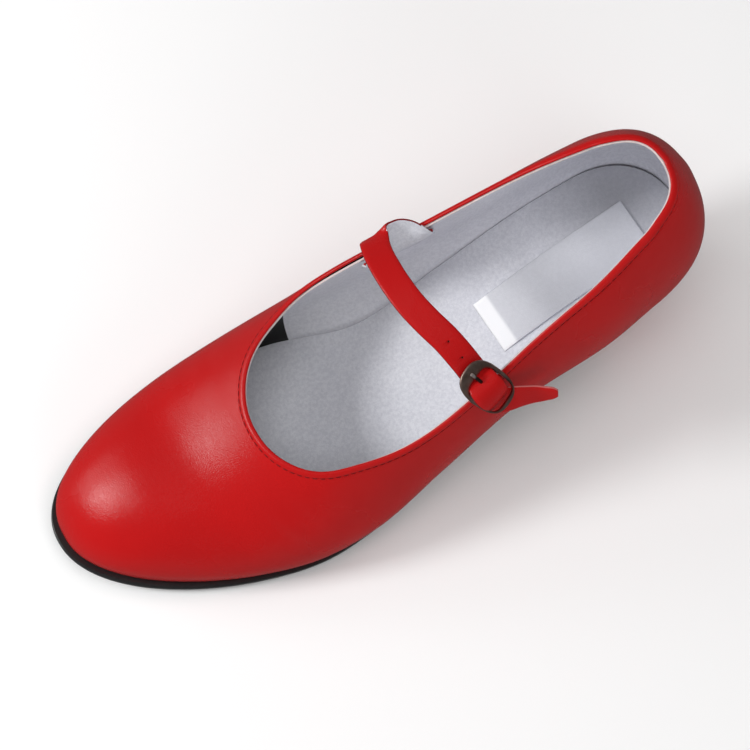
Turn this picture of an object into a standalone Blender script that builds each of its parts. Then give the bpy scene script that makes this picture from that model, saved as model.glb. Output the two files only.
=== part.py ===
"""Left flamenco shoe: a round-toed strap shoe on a curved last, with a tapered heel.

Sizes are in millimetres until a point is placed, and the scene is in metres.
A station is a distance from the back of the heel seat towards the toe. The toe points to -X,
the lateral side is -Y, and the shoe stands on the plane Z = 0.
"""
from collections import namedtuple
from math import asin, atan2, copysign, cos, degrees, pi, radians, sin

import bmesh
import bpy
from mathutils import Euler, Matrix, Vector

MM = 0.001
CLEARANCE = 0.3

# Last
LENGTH = 238.6
VAMP_POINT = 165.6
HEEL_ROUND = 28.6
HEEL_ROUND_POWER = 2.25
TOE_ROUND = 85.0
TOE_ROUND_POWER = 2.15
TOE_PUFF = 45.0
TOE_PUFF_POWER = 2.3
TOE_SWING = 10.5
SWING_START = 132.0
BELLY_SHARE = 0.35
GUIDE_ANGLE = 38.0
GUIDE_START = 120.0
GUIDE_STOP = 205.0
GUIDE_POWER = 4

# Leather, insole and sole
WALL = 2.0
INSOLE_INSET = 2.6
INSOLE_LIFT = 0.15
INSOLE_THICKNESS = 2.2
SOCK_THICKNESS = 1.2
SOCK_STATION = 47.5
SOCK_SIDE = -2.6
SOCK_LENGTH = 60.0
SOCK_WIDTH = 19.8
SOCK_TURN = 3.0
OUTSOLE_FOREPART = 2.9
OUTSOLE_FLAP = 2.0
SOLE_TOE_REACH = 2.5
BALL_STATION = 163.0
WAIST_END = 66.0
FLAP_END_LIFT = 1.0
HALF_SOLE_THICKNESS = 1.5
HALF_SOLE_REAR = 123.0
HALF_SOLE_INSET = 0.4

# Heel
SEAT_FRONT = 57.0
LIFT_HEIGHT = 5.7
LIFT_HALF_WIDTH = 14.0
LIFT_ROUND_SHARE = 0.55
LIFT_ROUND_POWER = 2.0
LIFT_FRONT_REACH = 2.6

# Strap and buckle
STRAP_THICKNESS = 1.6
TAB_THICKNESS = 0.8
EAR_SLACK = 0.7
BUCKLE_STATION = 94.9
BUCKLE_SIDE = -29.9
BUCKLE_HEIGHT = 78.0
BUCKLE_LEAN = 38.0
BUCKLE_YAW = 14.0
BUCKLE_SWING = 13.0
BUCKLE_HALF_WIDTH = 7.1
BUCKLE_HALF_LENGTH = 10.4
BUCKLE_POWER = 2.6
WINDOW_POWER = 5.0
BUCKLE_THICKNESS = 1.6
WINDOW_HALF_WIDTH = 5.7
WINDOW_PLATE_END = 5.6
WINDOW_RING_END = -8.9
BAR_RADIUS = 0.8
BAR_DEPTH = 2.2
LUG_WIDTH = 1.6
LUG_SIDE = 6.3
PRONG_RADIUS = 0.6
PRONG_KNEE = 4.4
PRONG_REST = 8.4
PRONG_WRAP_START = -45.0
PRONG_WRAP_TURN = -220.0
SLOT_WIDTH = 2.4
STRAP_SLOT = (-1.7, 5.4)
TAB_SLOT = (-3.2, 3.2)
SLOT_DEPTH = 12.0
TAB_END_WIDTH = 7.6
TAB_WRAP_START = -13.0
TAB_WRAP_TURN = 230.0

# Resolution
RIBS_BACK = 26
RIBS_FRONT = 16
ROWS_BELLY = 3
ROWS_SIDE = 8
SOLE_TOE_ROWS = 12
SOLE_BALL_ROWS = 5
SOLE_WAIST_ROWS = 7
INSOLE_ROWS = 26
SEAT_ROWS = 10
SOCK_ROWS = 12
SHEET_COLUMNS = 8
WRAP_STEPS = 10
ROUND_STEPS = 40
PRONG_ROUND_STEPS = 2
STRAP_ROWS = 64
TAB_ROWS = 24
RIBBON_COLUMNS = 4
SHARP_ANGLE = 40.0
WELD = 2e-6

# Shift that centres the standing shoe on its origin
MID_STATION = 119.63
MID_SIDE = 0.3

Section = namedtuple(
    "Section",
    "station lateral medial feather edge bulge_lateral bulge_medial belly ridge round_lateral round_medial",
)
# Half-widths and height of the sole line and its edge, then the side's bulge, belly, ridge and roundness
SECTIONS = (
    Section(0.0, 26.1, 26.1, 47.2, 0.0, 2.6, 2.6, 14.0, 71.6, 1.75, 1.75),
    Section(19.0, 26.1, 26.1, 45.2, 0.0, 2.8, 2.8, 14.0, 71.6, 1.75, 1.75),
    Section(48.0, 27.4, 26.2, 41.2, 0.0, 5.9, 3.3, 14.0, 65.4, 2.18, 2.42),
    Section(82.0, 29.0, 24.8, 29.9, 0.2, 4.5, 7.5, 15.0, 68.1, 2.02, 2.55),
    Section(115.0, 33.6, 25.0, 14.5, 0.5, 4.6, 11.7, 17.0, 72.8, 1.82, 2.56),
    Section(144.0, 39.2, 36.0, 7.0, 1.2, 3.5, 5.9, 14.0, 59.4, 1.71, 1.97),
    Section(163.0, 40.3, 39.4, 5.0, 1.8, 2.5, 3.0, 11.0, 46.1, 2.1, 2.1),
    Section(187.0, 38.9, 40.2, 5.0, 2.0, 1.5, 1.8, 9.0, 33.8, 2.1, 2.1),
    Section(211.0, 36.8, 39.6, 6.2, 2.3, 0.8, 0.8, 7.0, 30.1, 2.15, 2.15),
    Section(240.0, 35.0, 36.0, 11.0, 2.3, 0.5, 0.5, 5.0, 24.1, 2.2, 2.2),
)

Topline = namedtuple("Topline", "station lateral medial")
# Height of the collar on each side; it ends on the ridge at the vamp point
TOPLINE = (
    Topline(0.0, 107.0, 107.0),
    Topline(24.0, 103.1, 103.1),
    Topline(60.0, 89.9, 86.7),
    Topline(96.0, 69.2, 70.1),
    Topline(125.0, 57.6, 56.7),
)

HeelLevel = namedtuple("HeelLevel", "breast breast_height back back_height taper")
# Levels below the seat: the breast edge, the back edge and how far the plan has shrunk to the lift
HEEL_LEVELS = (
    HeelLevel(52.5, 37.0, 0.4, 43.5, 0.10),
    HeelLevel(49.2, 34.4, 1.0, 39.5, 0.26),
    HeelLevel(47.0, 30.0, 1.8, 34.0, 0.44),
    HeelLevel(44.2, 22.5, 3.1, 25.0, 0.70),
    HeelLevel(41.2, 14.0, 4.3, 15.0, 0.89),
    HeelLevel(38.4, 6.0, 5.2, 6.0, 1.00),
)

Ear = namedtuple("Ear", "station height width tilt lean")
# Rows of the two ears that are sewn inside the quarters, from the lower edge up over the collar;
# lean is how far a row has come out from the quarter's inner face
MEDIAL_EAR = (
    Ear(94.0, 59.5, 27.0, 25.0, 0.0),
    Ear(94.0, 65.5, 27.0, 25.0, 0.0),
    Ear(94.4, 70.0, 24.5, 25.0, 0.0),
)
LATERAL_EAR = (
    Ear(89.6, 56.0, 24.0, 24.0, -0.5),
    Ear(91.4, 60.0, 21.0, 24.0, -0.4),
    Ear(93.3, 64.8, 14.5, 22.0, -0.2),
    Ear(94.5, 69.4, 9.6, 16.0, 0.3),
)

Fold = namedtuple("Fold", "station side height width yaw tilt")
# The tab stays inside the collar before it leans out to the bar
TAB_NECK = Fold(95.0, -26.2, 73.2, 8.4, 20.0, 12.0)
# Centre line of the strap: the ear leans out over the collar, then the strap crosses the instep
STRAP_ARCH = (
    Fold(96.4, 30.0, 74.2, 19.5, 2.0, 24.0),
    Fold(98.8, 31.6, 76.8, 14.0, 5.0, 18.0),
    Fold(101.0, 31.8, 79.0, 10.8, 3.0, 9.0),
    Fold(102.2, 29.8, 81.5, 10.0, -10.0, 2.0),
    Fold(103.5, 25.4, 84.3, 9.8, -8.0, 0.0),
    Fold(104.2, 19.5, 86.8, 9.8, -2.0, 0.0),
    Fold(104.3, 12.0, 88.4, 9.8, 4.0, 0.0),
    Fold(103.6, 4.0, 88.9, 9.8, 10.0, 0.0),
    Fold(101.8, -4.0, 88.4, 9.8, 15.0, 0.0),
    Fold(99.5, -11.5, 86.8, 9.8, 16.0, 0.0),
)

Pass = namedtuple("Pass", "across along lift width swing twist")
# The strap's way through the buckle and its tail, swung towards the heel, in the buckle's own plane
STRAP_PASS = (
    Pass(0.0, 13.0, -2.7, 9.8, 0.0, 0.0),
    Pass(0.0, 8.5, -2.4, 9.6, 0.0, 0.0),
    Pass(0.0, 4.9, -2.3, 8.9, 0.0, 0.0),
    Pass(0.0, 2.2, 0.45, 8.9, 0.0, 0.0),
    Pass(0.0, 0.0, 1.4, 8.9, 0.0, 0.0),
    Pass(0.0, -2.6, 0.3, 8.9, 2.0, 0.0),
    Pass(0.5, -6.0, -2.2, 9.2, 14.0, 0.0),
    Pass(2.6, -9.8, -3.2, 9.3, 36.0, 8.0),
    Pass(7.4, -12.9, -2.9, 9.0, 55.0, 24.0),
    Pass(11.6, -15.4, -1.6, 8.4, 56.0, 32.0),
    Pass(14.2, -17.0, 0.1, 7.2, 54.0, 34.0),
    Pass(15.8, -18.1, 1.4, 4.2, 52.0, 34.0),
)

Finish = namedtuple("Finish", "colour roughness metallic")
RED = (0.47, 0.012, 0.013)
FINISHES = {
    "upper": Finish(RED, 0.42, 0.0),
    "strap": Finish(RED, 0.42, 0.0),
    "buckle_tab": Finish(RED, 0.42, 0.0),
    "heel": Finish(RED, 0.42, 0.0),
    "insole": Finish((0.55, 0.56, 0.59), 0.55, 0.0),
    "heel_sock": Finish((0.58, 0.59, 0.62), 0.45, 0.0),
    "outsole": Finish((0.012, 0.012, 0.013), 0.30, 0.0),
    "half_sole": Finish((0.018, 0.018, 0.019), 0.75, 0.0),
    "top_lift": Finish((0.018, 0.018, 0.019), 0.85, 0.0),
    "buckle_frame": Finish((0.13, 0.11, 0.09), 0.35, 1.0),
    "buckle_prong": Finish((0.55, 0.53, 0.50), 0.25, 1.0),
}


def smooth(places, values, at):
    """Cubic through the rows of a table, with slopes weighted by the row spacing."""
    gaps = [b - a for a, b in zip(places, places[1:])]
    steps = [(b - a) / gap for a, b, gap in zip(values, values[1:], gaps)]
    slopes = [steps[0]]
    for k in range(1, len(steps)):
        slopes.append((steps[k - 1] * gaps[k] + steps[k] * gaps[k - 1]) / (gaps[k - 1] + gaps[k]))
    slopes.append(steps[-1])
    k = 0
    while k < len(gaps) - 1 and at > places[k + 1]:
        k += 1
    t = (at - places[k]) / gaps[k]
    rise = (1 + 2 * t) * (1 - t) ** 2 * values[k] + t * t * (3 - 2 * t) * values[k + 1]
    bend = t * (1 - t) ** 2 * slopes[k] - t * t * (1 - t) * slopes[k + 1]
    return rise + gaps[k] * bend


def column(table, name, at):
    """Value of one column of a table of stations, between its rows."""
    return smooth([row.station for row in table], [getattr(row, name) for row in table], at)


def share(value, start, stop):
    """How far a value lies from start to stop, from 0 to 1."""
    return min(max((value - start) / (stop - start), 0.0), 1.0)


def mix(start, stop, amount):
    return start + (stop - start) * amount


def rounding(amount, power):
    """Superellipse fall from 1 at the start of a rounded end to 0 at its tip."""
    return max(1.0 - amount ** power, 0.0) ** (1.0 / power)


def placed(station, side, height):
    """A point of the last in the shoe's frame, in metres."""
    return Vector((MID_STATION - station, side - MID_SIDE, height)) * MM


# The last

def sign(side):
    return -1.0 if side == "lateral" else 1.0


def end_rounding(station):
    toe = rounding(share(station, LENGTH - TOE_ROUND, LENGTH), TOE_ROUND_POWER)
    heel = rounding(share(station, HEEL_ROUND, 0.0), HEEL_ROUND_POWER)
    return toe * heel


def centre_line(station):
    """The last's centre line swings to the medial side towards the toe."""
    return TOE_SWING * share(station, SWING_START, LENGTH) ** 2


def half_width(side, station):
    return column(SECTIONS, side, station) * end_rounding(station)


def feather(station):
    """Height of the line where upper and sole meet."""
    return column(SECTIONS, "feather", station)


def ridge(station):
    puff = share(station, LENGTH - TOE_PUFF, LENGTH)
    return column(SECTIONS, "ridge", station) * rounding(puff, TOE_PUFF_POWER)


def belly_height(station):
    return min(column(SECTIONS, "belly", station), BELLY_SHARE * ridge(station))


def collar_height(side, station):
    places = [row.station for row in TOPLINE] + [VAMP_POINT]
    heights = [getattr(row, side) for row in TOPLINE] + [feather(VAMP_POINT) + ridge(VAMP_POINT)]
    return smooth(places, heights, station)


def guide_angle(station):
    """Top angle that the lower rows follow, so that they run evenly past the throat."""
    return mix(radians(GUIDE_ANGLE), pi / 2, share(station, GUIDE_START, GUIDE_STOP))


def last_point(side, station, row):
    """Point of the last's side: rows climb the belly, then the side up to the collar or the ridge."""
    width = half_width(side, station)
    foot = centre_line(station) + sign(side) * width
    inward = Vector((max(HEEL_ROUND - station, 0.0), -sign(side) * width))
    reach = inward.length
    inward.normalize()
    bulge = column(SECTIONS, "bulge_" + side, station)
    power = column(SECTIONS, "round_" + side, station)
    height = ridge(station)
    belly = belly_height(station)
    if row <= ROWS_BELLY:
        climb = row / ROWS_BELLY
        inset = -bulge * climb * (2.0 - climb)
        lift = belly * climb
    else:
        top = pi / 2
        if station < VAMP_POINT:
            rise = (collar_height(side, station) - feather(station) - belly) / (height - belly)
            top = asin(min(rise, 1.0) ** (power / 2))
        climb = (row - ROWS_BELLY) / ROWS_SIDE
        guide = min(guide_angle(station), top)
        angle = guide * climb + (top - guide) * climb ** GUIDE_POWER
        inset = -bulge + (reach + bulge) * (1.0 - max(cos(angle), 0.0) ** (2 / power))
        lift = belly + (height - belly) * sin(angle) ** (2 / power)
    return placed(station + inward.x * inset, foot + inward.y * inset, feather(station) + lift)


def wall_side(side, station, height):
    """How far out the upper's face lies at a height above its belly."""
    width = half_width(side, station)
    bulge = column(SECTIONS, "bulge_" + side, station)
    power = column(SECTIONS, "round_" + side, station)
    belly = belly_height(station)
    rise = (height - feather(station) - belly) / (ridge(station) - belly)
    return centre_line(station) + sign(side) * (width + bulge) * rounding(rise, power)


def crowded(start, stop, amount):
    """Runs from start to stop with steps that crowd together at both ends."""
    return mix(start, stop, (1.0 - cos(pi * amount)) / 2)


def rib_station(rib):
    """Ribs crowd together at the heel's back, round the throat and at the toe tip."""
    if rib <= RIBS_BACK:
        return crowded(0.0, VAMP_POINT, rib / RIBS_BACK)
    return crowded(VAMP_POINT, LENGTH, (rib - RIBS_BACK) / RIBS_FRONT)


# Mesh helpers

def stack(bm, columns, rows, layers, point):
    """Grids from point(column, row, layer), joined layer to layer: one is a sheet, more a solid."""
    at_column = bm.verts.layers.int.get("column") or bm.verts.layers.int.new("column")
    at_row = bm.verts.layers.int.get("row") or bm.verts.layers.int.new("row")
    verts = bmesh.ops.create_grid(bm, x_segments=columns, y_segments=rows, size=0.5)["verts"]
    for vert in verts:
        vert[at_column] = round((vert.co.x + 0.5) * columns)
        vert[at_row] = round((vert.co.y + 0.5) * rows)
    faces = list({face for vert in verts for face in vert.link_faces})
    for layer in range(layers):
        if layer:
            covered = faces if layer > 1 else []
            grown = bmesh.ops.extrude_face_region(bm, geom=faces)["geom"]
            faces = [item for item in grown if isinstance(item, bmesh.types.BMFace)]
            verts = [item for item in grown if isinstance(item, bmesh.types.BMVert)]
            bmesh.ops.delete(bm, geom=covered, context="FACES_ONLY")
        for vert in verts:
            vert.co = point(vert[at_column], vert[at_row], layer)


def make_material(name):
    look = FINISHES[name]
    material = bpy.data.materials.new(name)
    material.use_nodes = True
    shader = material.node_tree.nodes["Principled BSDF"]
    shader.inputs["Base Color"].default_value = (*look.colour, 1.0)
    shader.inputs["Roughness"].default_value = look.roughness
    shader.inputs["Metallic"].default_value = look.metallic
    return material


def add_part(name, data, parent=None):
    part = bpy.data.objects.new(name, data)
    part.parent = parent
    shoe.objects.link(part)
    data.materials.append(make_material(name))
    return part


def finished(name, bm, parent=None):
    """Weld a sheet or solid, face it outwards and make it a part."""
    bmesh.ops.remove_doubles(bm, verts=bm.verts, dist=WELD)
    bmesh.ops.recalc_face_normals(bm, faces=bm.faces)
    mesh = bpy.data.meshes.new(name)
    bm.to_mesh(mesh)
    bm.free()
    mesh.shade_smooth()
    mesh.set_sharp_from_angle(angle=radians(SHARP_ANGLE))
    return add_part(name, mesh, parent)


def solidify(part, thickness, offset):
    shell = part.modifiers.new("Thickness", "SOLIDIFY")
    shell.thickness = thickness * MM
    shell.offset = offset


def join_shape(part, operation, tool):
    joint = part.modifiers.new(tool.name, "BOOLEAN")
    joint.operation = operation
    joint.object = tool


def add_tool(name, bm):
    """A hidden shape, in the buckle's own frame, that cuts a part or joins it."""
    mesh = bpy.data.meshes.new(name)
    bm.to_mesh(mesh)
    bm.free()
    tool = bpy.data.objects.new(name, mesh)
    tool.parent = buckle_seat
    tool.hide_render = True
    tool.display_type = "WIRE"
    cutters.objects.link(tool)
    return tool


def box_tool(name, middle, size):
    bm = bmesh.new()
    bmesh.ops.create_cube(bm, size=1.0)
    bmesh.ops.scale(bm, vec=Vector(size) * MM, verts=bm.verts)
    bmesh.ops.translate(bm, vec=Vector(middle) * MM, verts=bm.verts)
    return add_tool(name, bm)


# Upper and what closes it underneath

def make_upper():
    bm = bmesh.new()
    for side in ("lateral", "medial"):
        stack(
            bm, RIBS_BACK + RIBS_FRONT, ROWS_BELLY + ROWS_SIDE, 1,
            lambda rib, row, layer: last_point(side, rib_station(rib), row),
        )
    solidify(finished("upper", bm), WALL, -1.0)


def make_insole():
    def point(row, across, layer):
        outline = crowded(0.0, LENGTH, row / INSOLE_ROWS)
        station = mix(INSOLE_INSET, LENGTH - INSOLE_INSET, outline / LENGTH)
        lateral = max(half_width("lateral", outline) - INSOLE_INSET, 0.0)
        medial = max(half_width("medial", outline) - INSOLE_INSET, 0.0)
        side = centre_line(outline) + mix(-lateral, medial, across / SHEET_COLUMNS)
        return placed(station, side, feather(station) + INSOLE_LIFT + INSOLE_THICKNESS * (1 - layer))

    bm = bmesh.new()
    stack(bm, INSOLE_ROWS, SHEET_COLUMNS, 2, point)
    finished("insole", bm)


def make_heel_sock():
    base = INSOLE_LIFT + INSOLE_THICKNESS + CLEARANCE

    def point(row, across, layer):
        along = SOCK_LENGTH * (row / SOCK_ROWS - 0.5)
        aside = SOCK_WIDTH * (across / SHEET_COLUMNS - 0.5)
        turn = radians(SOCK_TURN)
        station = SOCK_STATION + along * cos(turn) + aside * sin(turn)
        side = SOCK_SIDE + aside * cos(turn) - along * sin(turn)
        return placed(station, side, feather(station) + base + SOCK_THICKNESS * (1 - layer))

    bm = bmesh.new()
    stack(bm, SOCK_ROWS, SHEET_COLUMNS, 2, point)
    finished("heel_sock", bm)


# Sole and heel

def heel_half_width(side, along, taper):
    """Half-width of the heel's plan at a share of its length: from the seat's outline to the lift's."""
    seat = half_width(side, along * SEAT_FRONT)
    lift = LIFT_HALF_WIDTH * rounding(1.0 - share(along, 0.0, LIFT_ROUND_SHARE), LIFT_ROUND_POWER)
    return mix(seat, lift, taper)


SoleRow = namedtuple("SoleRow", "station height lateral medial thickness")


def sole_row(outline):
    """Row of the outsole's top along the feather; outline is the station on the last."""
    reach = SOLE_TOE_REACH * share(outline, BALL_STATION, LENGTH)
    edge = column(SECTIONS, "edge", outline) * end_rounding(outline)
    middle = centre_line(outline)
    return SoleRow(
        outline + reach,
        feather(outline) - CLEARANCE,
        middle - half_width("lateral", outline) - edge,
        middle + half_width("medial", outline) + edge,
        OUTSOLE_FOREPART,
    )


def forepart_rows():
    toe = [mix(BALL_STATION, LENGTH, cos(pi / 2 * k / SOLE_TOE_ROWS)) for k in range(SOLE_TOE_ROWS)]
    ball = [mix(BALL_STATION, HALF_SOLE_REAR, k / SOLE_BALL_ROWS) for k in range(SOLE_BALL_ROWS + 1)]
    return [sole_row(outline) for outline in toe + ball]


def waist_rows():
    steps = range(1, SOLE_WAIST_ROWS + 1)
    return [sole_row(mix(HALF_SOLE_REAR, WAIST_END, k / SOLE_WAIST_ROWS)) for k in steps]


def flap_rows():
    """Rows down the heel breast, a clearance in front of the heel."""
    breast = [(SEAT_FRONT, feather(SEAT_FRONT) - CLEARANCE, 0.0)]
    breast += [(level.breast, level.breast_height, level.taper) for level in HEEL_LEVELS[:-1]]
    above, foot = HEEL_LEVELS[-2:]
    up = FLAP_END_LIFT / (above.breast_height - foot.breast_height)
    breast.append((mix(foot.breast, above.breast, up), foot.breast_height + FLAP_END_LIFT, foot.taper))
    rows = []
    for k, (station, height, taper) in enumerate(breast):
        before = breast[max(k - 1, 0)]
        after = breast[min(k + 1, len(breast) - 1)]
        run = Vector((after[0] - before[0], after[1] - before[1])).normalized()
        off = Vector((-run.y, run.x)) * CLEARANCE
        rows.append(
            SoleRow(
                station + off.x,
                height + off.y,
                -heel_half_width("lateral", 1.0, taper),
                heel_half_width("medial", 1.0, taper),
                OUTSOLE_FLAP,
            )
        )
    return rows


def sole_point(rows, row, across, depth):
    """Point under a row of the sole, at a depth along the sole's own normal."""
    here = rows[row]
    before = rows[max(row - 1, 0)]
    after = rows[min(row + 1, len(rows) - 1)]
    run = Vector((after.station - before.station, after.height - before.height)).normalized()
    station = here.station - run.y * depth
    height = here.height + run.x * depth
    return station, mix(here.lateral, here.medial, across), height


def make_outsole():
    rows = forepart_rows() + waist_rows() + flap_rows()

    def point(row, across, layer):
        return placed(*sole_point(rows, row, across / SHEET_COLUMNS, rows[row].thickness * layer))

    bm = bmesh.new()
    stack(bm, len(rows) - 1, SHEET_COLUMNS, 2, point)
    finished("outsole", bm)


def make_half_sole():
    rows = forepart_rows() + waist_rows()
    last = len(forepart_rows()) - 1
    top = OUTSOLE_FOREPART + CLEARANCE

    def point(row, across, layer):
        depth = top + HALF_SOLE_THICKNESS * layer
        station, side, height = sole_point(rows, row, across / SHEET_COLUMNS, depth)
        span = rows[row].medial - rows[row].lateral
        middle = (rows[row].medial + rows[row].lateral) / 2
        inset = max(1.0 - 2.0 * HALF_SOLE_INSET / span, 0.0) if span else 0.0
        return placed(station, middle + (side - middle) * inset, max(height, 0.0))

    bm = bmesh.new()
    stack(bm, last, SHEET_COLUMNS, 2, point)
    finished("half_sole", bm)


def make_heel():
    def point(row, across, layer):
        along = 1.0 - cos(pi / 2 * row / SEAT_ROWS)
        if layer == 0:
            station = along * SEAT_FRONT
            height = feather(station) - CLEARANCE
            taper = 0.0
        else:
            level = HEEL_LEVELS[layer - 1]
            station = mix(level.back, level.breast, along)
            height = mix(level.back_height, level.breast_height, along)
            taper = level.taper
        lateral = heel_half_width("lateral", along, taper)
        medial = heel_half_width("medial", along, taper)
        return placed(station, mix(-lateral, medial, across / SHEET_COLUMNS), height)

    bm = bmesh.new()
    stack(bm, SEAT_ROWS, SHEET_COLUMNS, len(HEEL_LEVELS) + 1, point)
    finished("heel", bm)


def make_top_lift():
    foot = HEEL_LEVELS[-1]

    def point(row, across, layer):
        along = 1.0 - cos(pi / 2 * row / SEAT_ROWS)
        width = heel_half_width("lateral", along, foot.taper)
        station = mix(foot.back, foot.breast + LIFT_FRONT_REACH, along)
        return placed(station, mix(-width, width, across / SHEET_COLUMNS), LIFT_HEIGHT * (1 - layer))

    bm = bmesh.new()
    stack(bm, SEAT_ROWS, SHEET_COLUMNS, 2, point)
    finished("top_lift", bm)


# Strap and buckle

def ear_folds(side, ears, thickness):
    """Rows of an ear that lies a clearance inside the quarter's wall."""
    depth = WALL + CLEARANCE + EAR_SLACK + thickness / 2
    folds = []
    for ear in ears:
        run = ear.width / 2 * cos(radians(ear.tilt))
        rise = ear.width / 2 * sin(radians(ear.tilt))
        ahead = wall_side(side, ear.station + run, ear.height - rise)
        behind = wall_side(side, ear.station - run, ear.height + rise)
        yaw = degrees(atan2(behind - ahead, 2 * run))
        middle = (ahead + behind) / 2 - sign(side) * (depth - ear.lean)
        folds.append(Fold(ear.station, middle, ear.height, ear.width, yaw, ear.tilt))
    return folds


def strap_turn():
    """The plane in which the strap passes the buckle."""
    return Euler((radians(BUCKLE_LEAN), 0.0, radians(BUCKLE_YAW))).to_matrix()


def buckle_fold(step):
    """A fold in the shoe from a step of a strip in the buckle's own plane."""
    turn = strap_turn()
    spot = turn @ Vector((step.across, step.along, step.lift))
    swing = radians(step.swing)
    twist = radians(step.twist)
    reach = turn @ Vector((cos(swing) * cos(twist), sin(swing) * cos(twist), sin(twist)))
    return Fold(
        BUCKLE_STATION - spot.x,
        BUCKLE_SIDE + spot.y,
        BUCKLE_HEIGHT + spot.z,
        step.width,
        degrees(atan2(reach.y, reach.x)),
        degrees(asin(reach.z)),
    )


def make_ribbon(name, folds, samples, thickness):
    """A strip through its folds: each has a centre, a width and the width's yaw and tilt."""
    gaps = [
        Vector((b.station - a.station, b.side - a.side, b.height - a.height)).length
        for a, b in zip(folds, folds[1:])
    ]
    places = [sum(gaps[:k]) for k in range(len(folds))]

    def value(field, at):
        return smooth(places, [getattr(fold, field) for fold in folds], at)

    def centre(at):
        return placed(value("station", at), value("side", at), value("height", at))

    def point(row, across, layer):
        at = places[-1] * row / samples
        step = places[-1] / samples / 2
        ahead = min(at + step, places[-1])
        behind = max(at - step, 0.0)
        run = (centre(ahead) - centre(behind)).normalized()
        yaw = radians(value("yaw", at))
        tilt = radians(value("tilt", at))
        width = Vector((cos(yaw) * cos(tilt), sin(yaw) * cos(tilt), sin(tilt)))
        width = (width - run * width.dot(run)).normalized()
        return centre(at) + width * value("width", at) * MM * (across / RIBBON_COLUMNS - 0.5)

    bm = bmesh.new()
    stack(bm, samples, RIBBON_COLUMNS, 1, point)
    strip = finished(name, bm)
    solidify(strip, thickness, 0.0)
    return strip


def make_strap():
    folds = ear_folds("medial", MEDIAL_EAR, STRAP_THICKNESS) + list(STRAP_ARCH)
    folds += [buckle_fold(step) for step in STRAP_PASS]
    strap = make_ribbon("strap", folds, STRAP_ROWS, STRAP_THICKNESS)
    start, stop = STRAP_SLOT
    size = (SLOT_WIDTH, stop - start, SLOT_DEPTH)
    join_shape(strap, "DIFFERENCE", box_tool("strap_slot", (0.0, (start + stop) / 2, 0.0), size))


def make_buckle_tab():
    radius = BAR_RADIUS + CLEARANCE + TAB_THICKNESS / 2
    folds = ear_folds("lateral", LATERAL_EAR, TAB_THICKNESS) + [TAB_NECK]
    for k in range(WRAP_STEPS + 1):
        angle = radians(TAB_WRAP_START + TAB_WRAP_TURN * k / WRAP_STEPS)
        along = radius * cos(angle)
        lift = radius * sin(angle) - BAR_DEPTH
        across, ahead = -along * sin(radians(BUCKLE_SWING)), along * cos(radians(BUCKLE_SWING))
        folds.append(buckle_fold(Pass(across, ahead, lift, TAB_END_WIDTH, BUCKLE_SWING, 0.0)))
    tab = make_ribbon("buckle_tab", folds, TAB_ROWS, TAB_THICKNESS)
    start, stop = TAB_SLOT
    size = (SLOT_WIDTH, stop - start, SLOT_DEPTH / 2)
    join_shape(tab, "DIFFERENCE", box_tool("tab_slot", (0.0, (start + stop) / 2, -BAR_DEPTH), size))


def superellipse(half_across, near, far, power):
    """Closed outline across and along the buckle, as points of a flat curve."""
    middle = (near + far) / 2
    half_length = abs(far - near) / 2
    points = []
    for k in range(ROUND_STEPS):
        angle = 2 * pi * k / ROUND_STEPS
        across = copysign(abs(cos(angle)) ** (2 / power), cos(angle))
        along = copysign(abs(sin(angle)) ** (2 / power), sin(angle))
        points.append((across * half_across, middle + along * half_length))
    return points


def add_spline(curve, points, closed):
    spline = curve.splines.new("POLY")
    spline.points.add(len(points) - 1)
    for spot, co in zip(spline.points, points):
        spot.co = (*(Vector(co).to_3d() * MM), 1.0)
    spline.use_cyclic_u = closed


def make_buckle_frame():
    curve = bpy.data.curves.new("buckle_outline", "CURVE")
    curve.dimensions = "2D"
    curve.fill_mode = "BOTH"
    curve.extrude = BUCKLE_THICKNESS / 2 * MM
    rim = superellipse(BUCKLE_HALF_WIDTH, -BUCKLE_HALF_LENGTH, BUCKLE_HALF_LENGTH, BUCKLE_POWER)
    window = superellipse(WINDOW_HALF_WIDTH, WINDOW_RING_END, WINDOW_PLATE_END, WINDOW_POWER)
    add_spline(curve, rim, True)
    add_spline(curve, window, True)
    drawing = bpy.data.objects.new("buckle_outline", curve)
    cutters.objects.link(drawing)
    view = bpy.context.evaluated_depsgraph_get()
    flat = bpy.data.meshes.new_from_object(drawing.evaluated_get(view))
    bpy.data.objects.remove(drawing)
    bm = bmesh.new()
    bm.from_mesh(flat)
    bpy.data.meshes.remove(flat)
    frame = finished("buckle_frame", bm, buckle_seat)

    for name, side in (("lug_toe", -LUG_SIDE), ("lug_heel", LUG_SIDE)):
        depth = BAR_DEPTH + BAR_RADIUS
        lug = box_tool(name, (side, 0.0, -depth / 2), (LUG_WIDTH, LUG_WIDTH, depth))
        join_shape(frame, "UNION", lug)
    bar = bmesh.new()
    bmesh.ops.create_cone(
        bar, cap_ends=True, segments=WRAP_STEPS, radius1=BAR_RADIUS * MM, radius2=BAR_RADIUS * MM,
        depth=2 * LUG_SIDE * MM,
    )
    for vert in bar.verts:
        vert.co = Vector((vert.co.z, vert.co.y, vert.co.x - BAR_DEPTH * MM))
    bmesh.ops.recalc_face_normals(bar, faces=bar.faces)
    join_shape(frame, "UNION", add_tool("centre_bar", bar))


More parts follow.
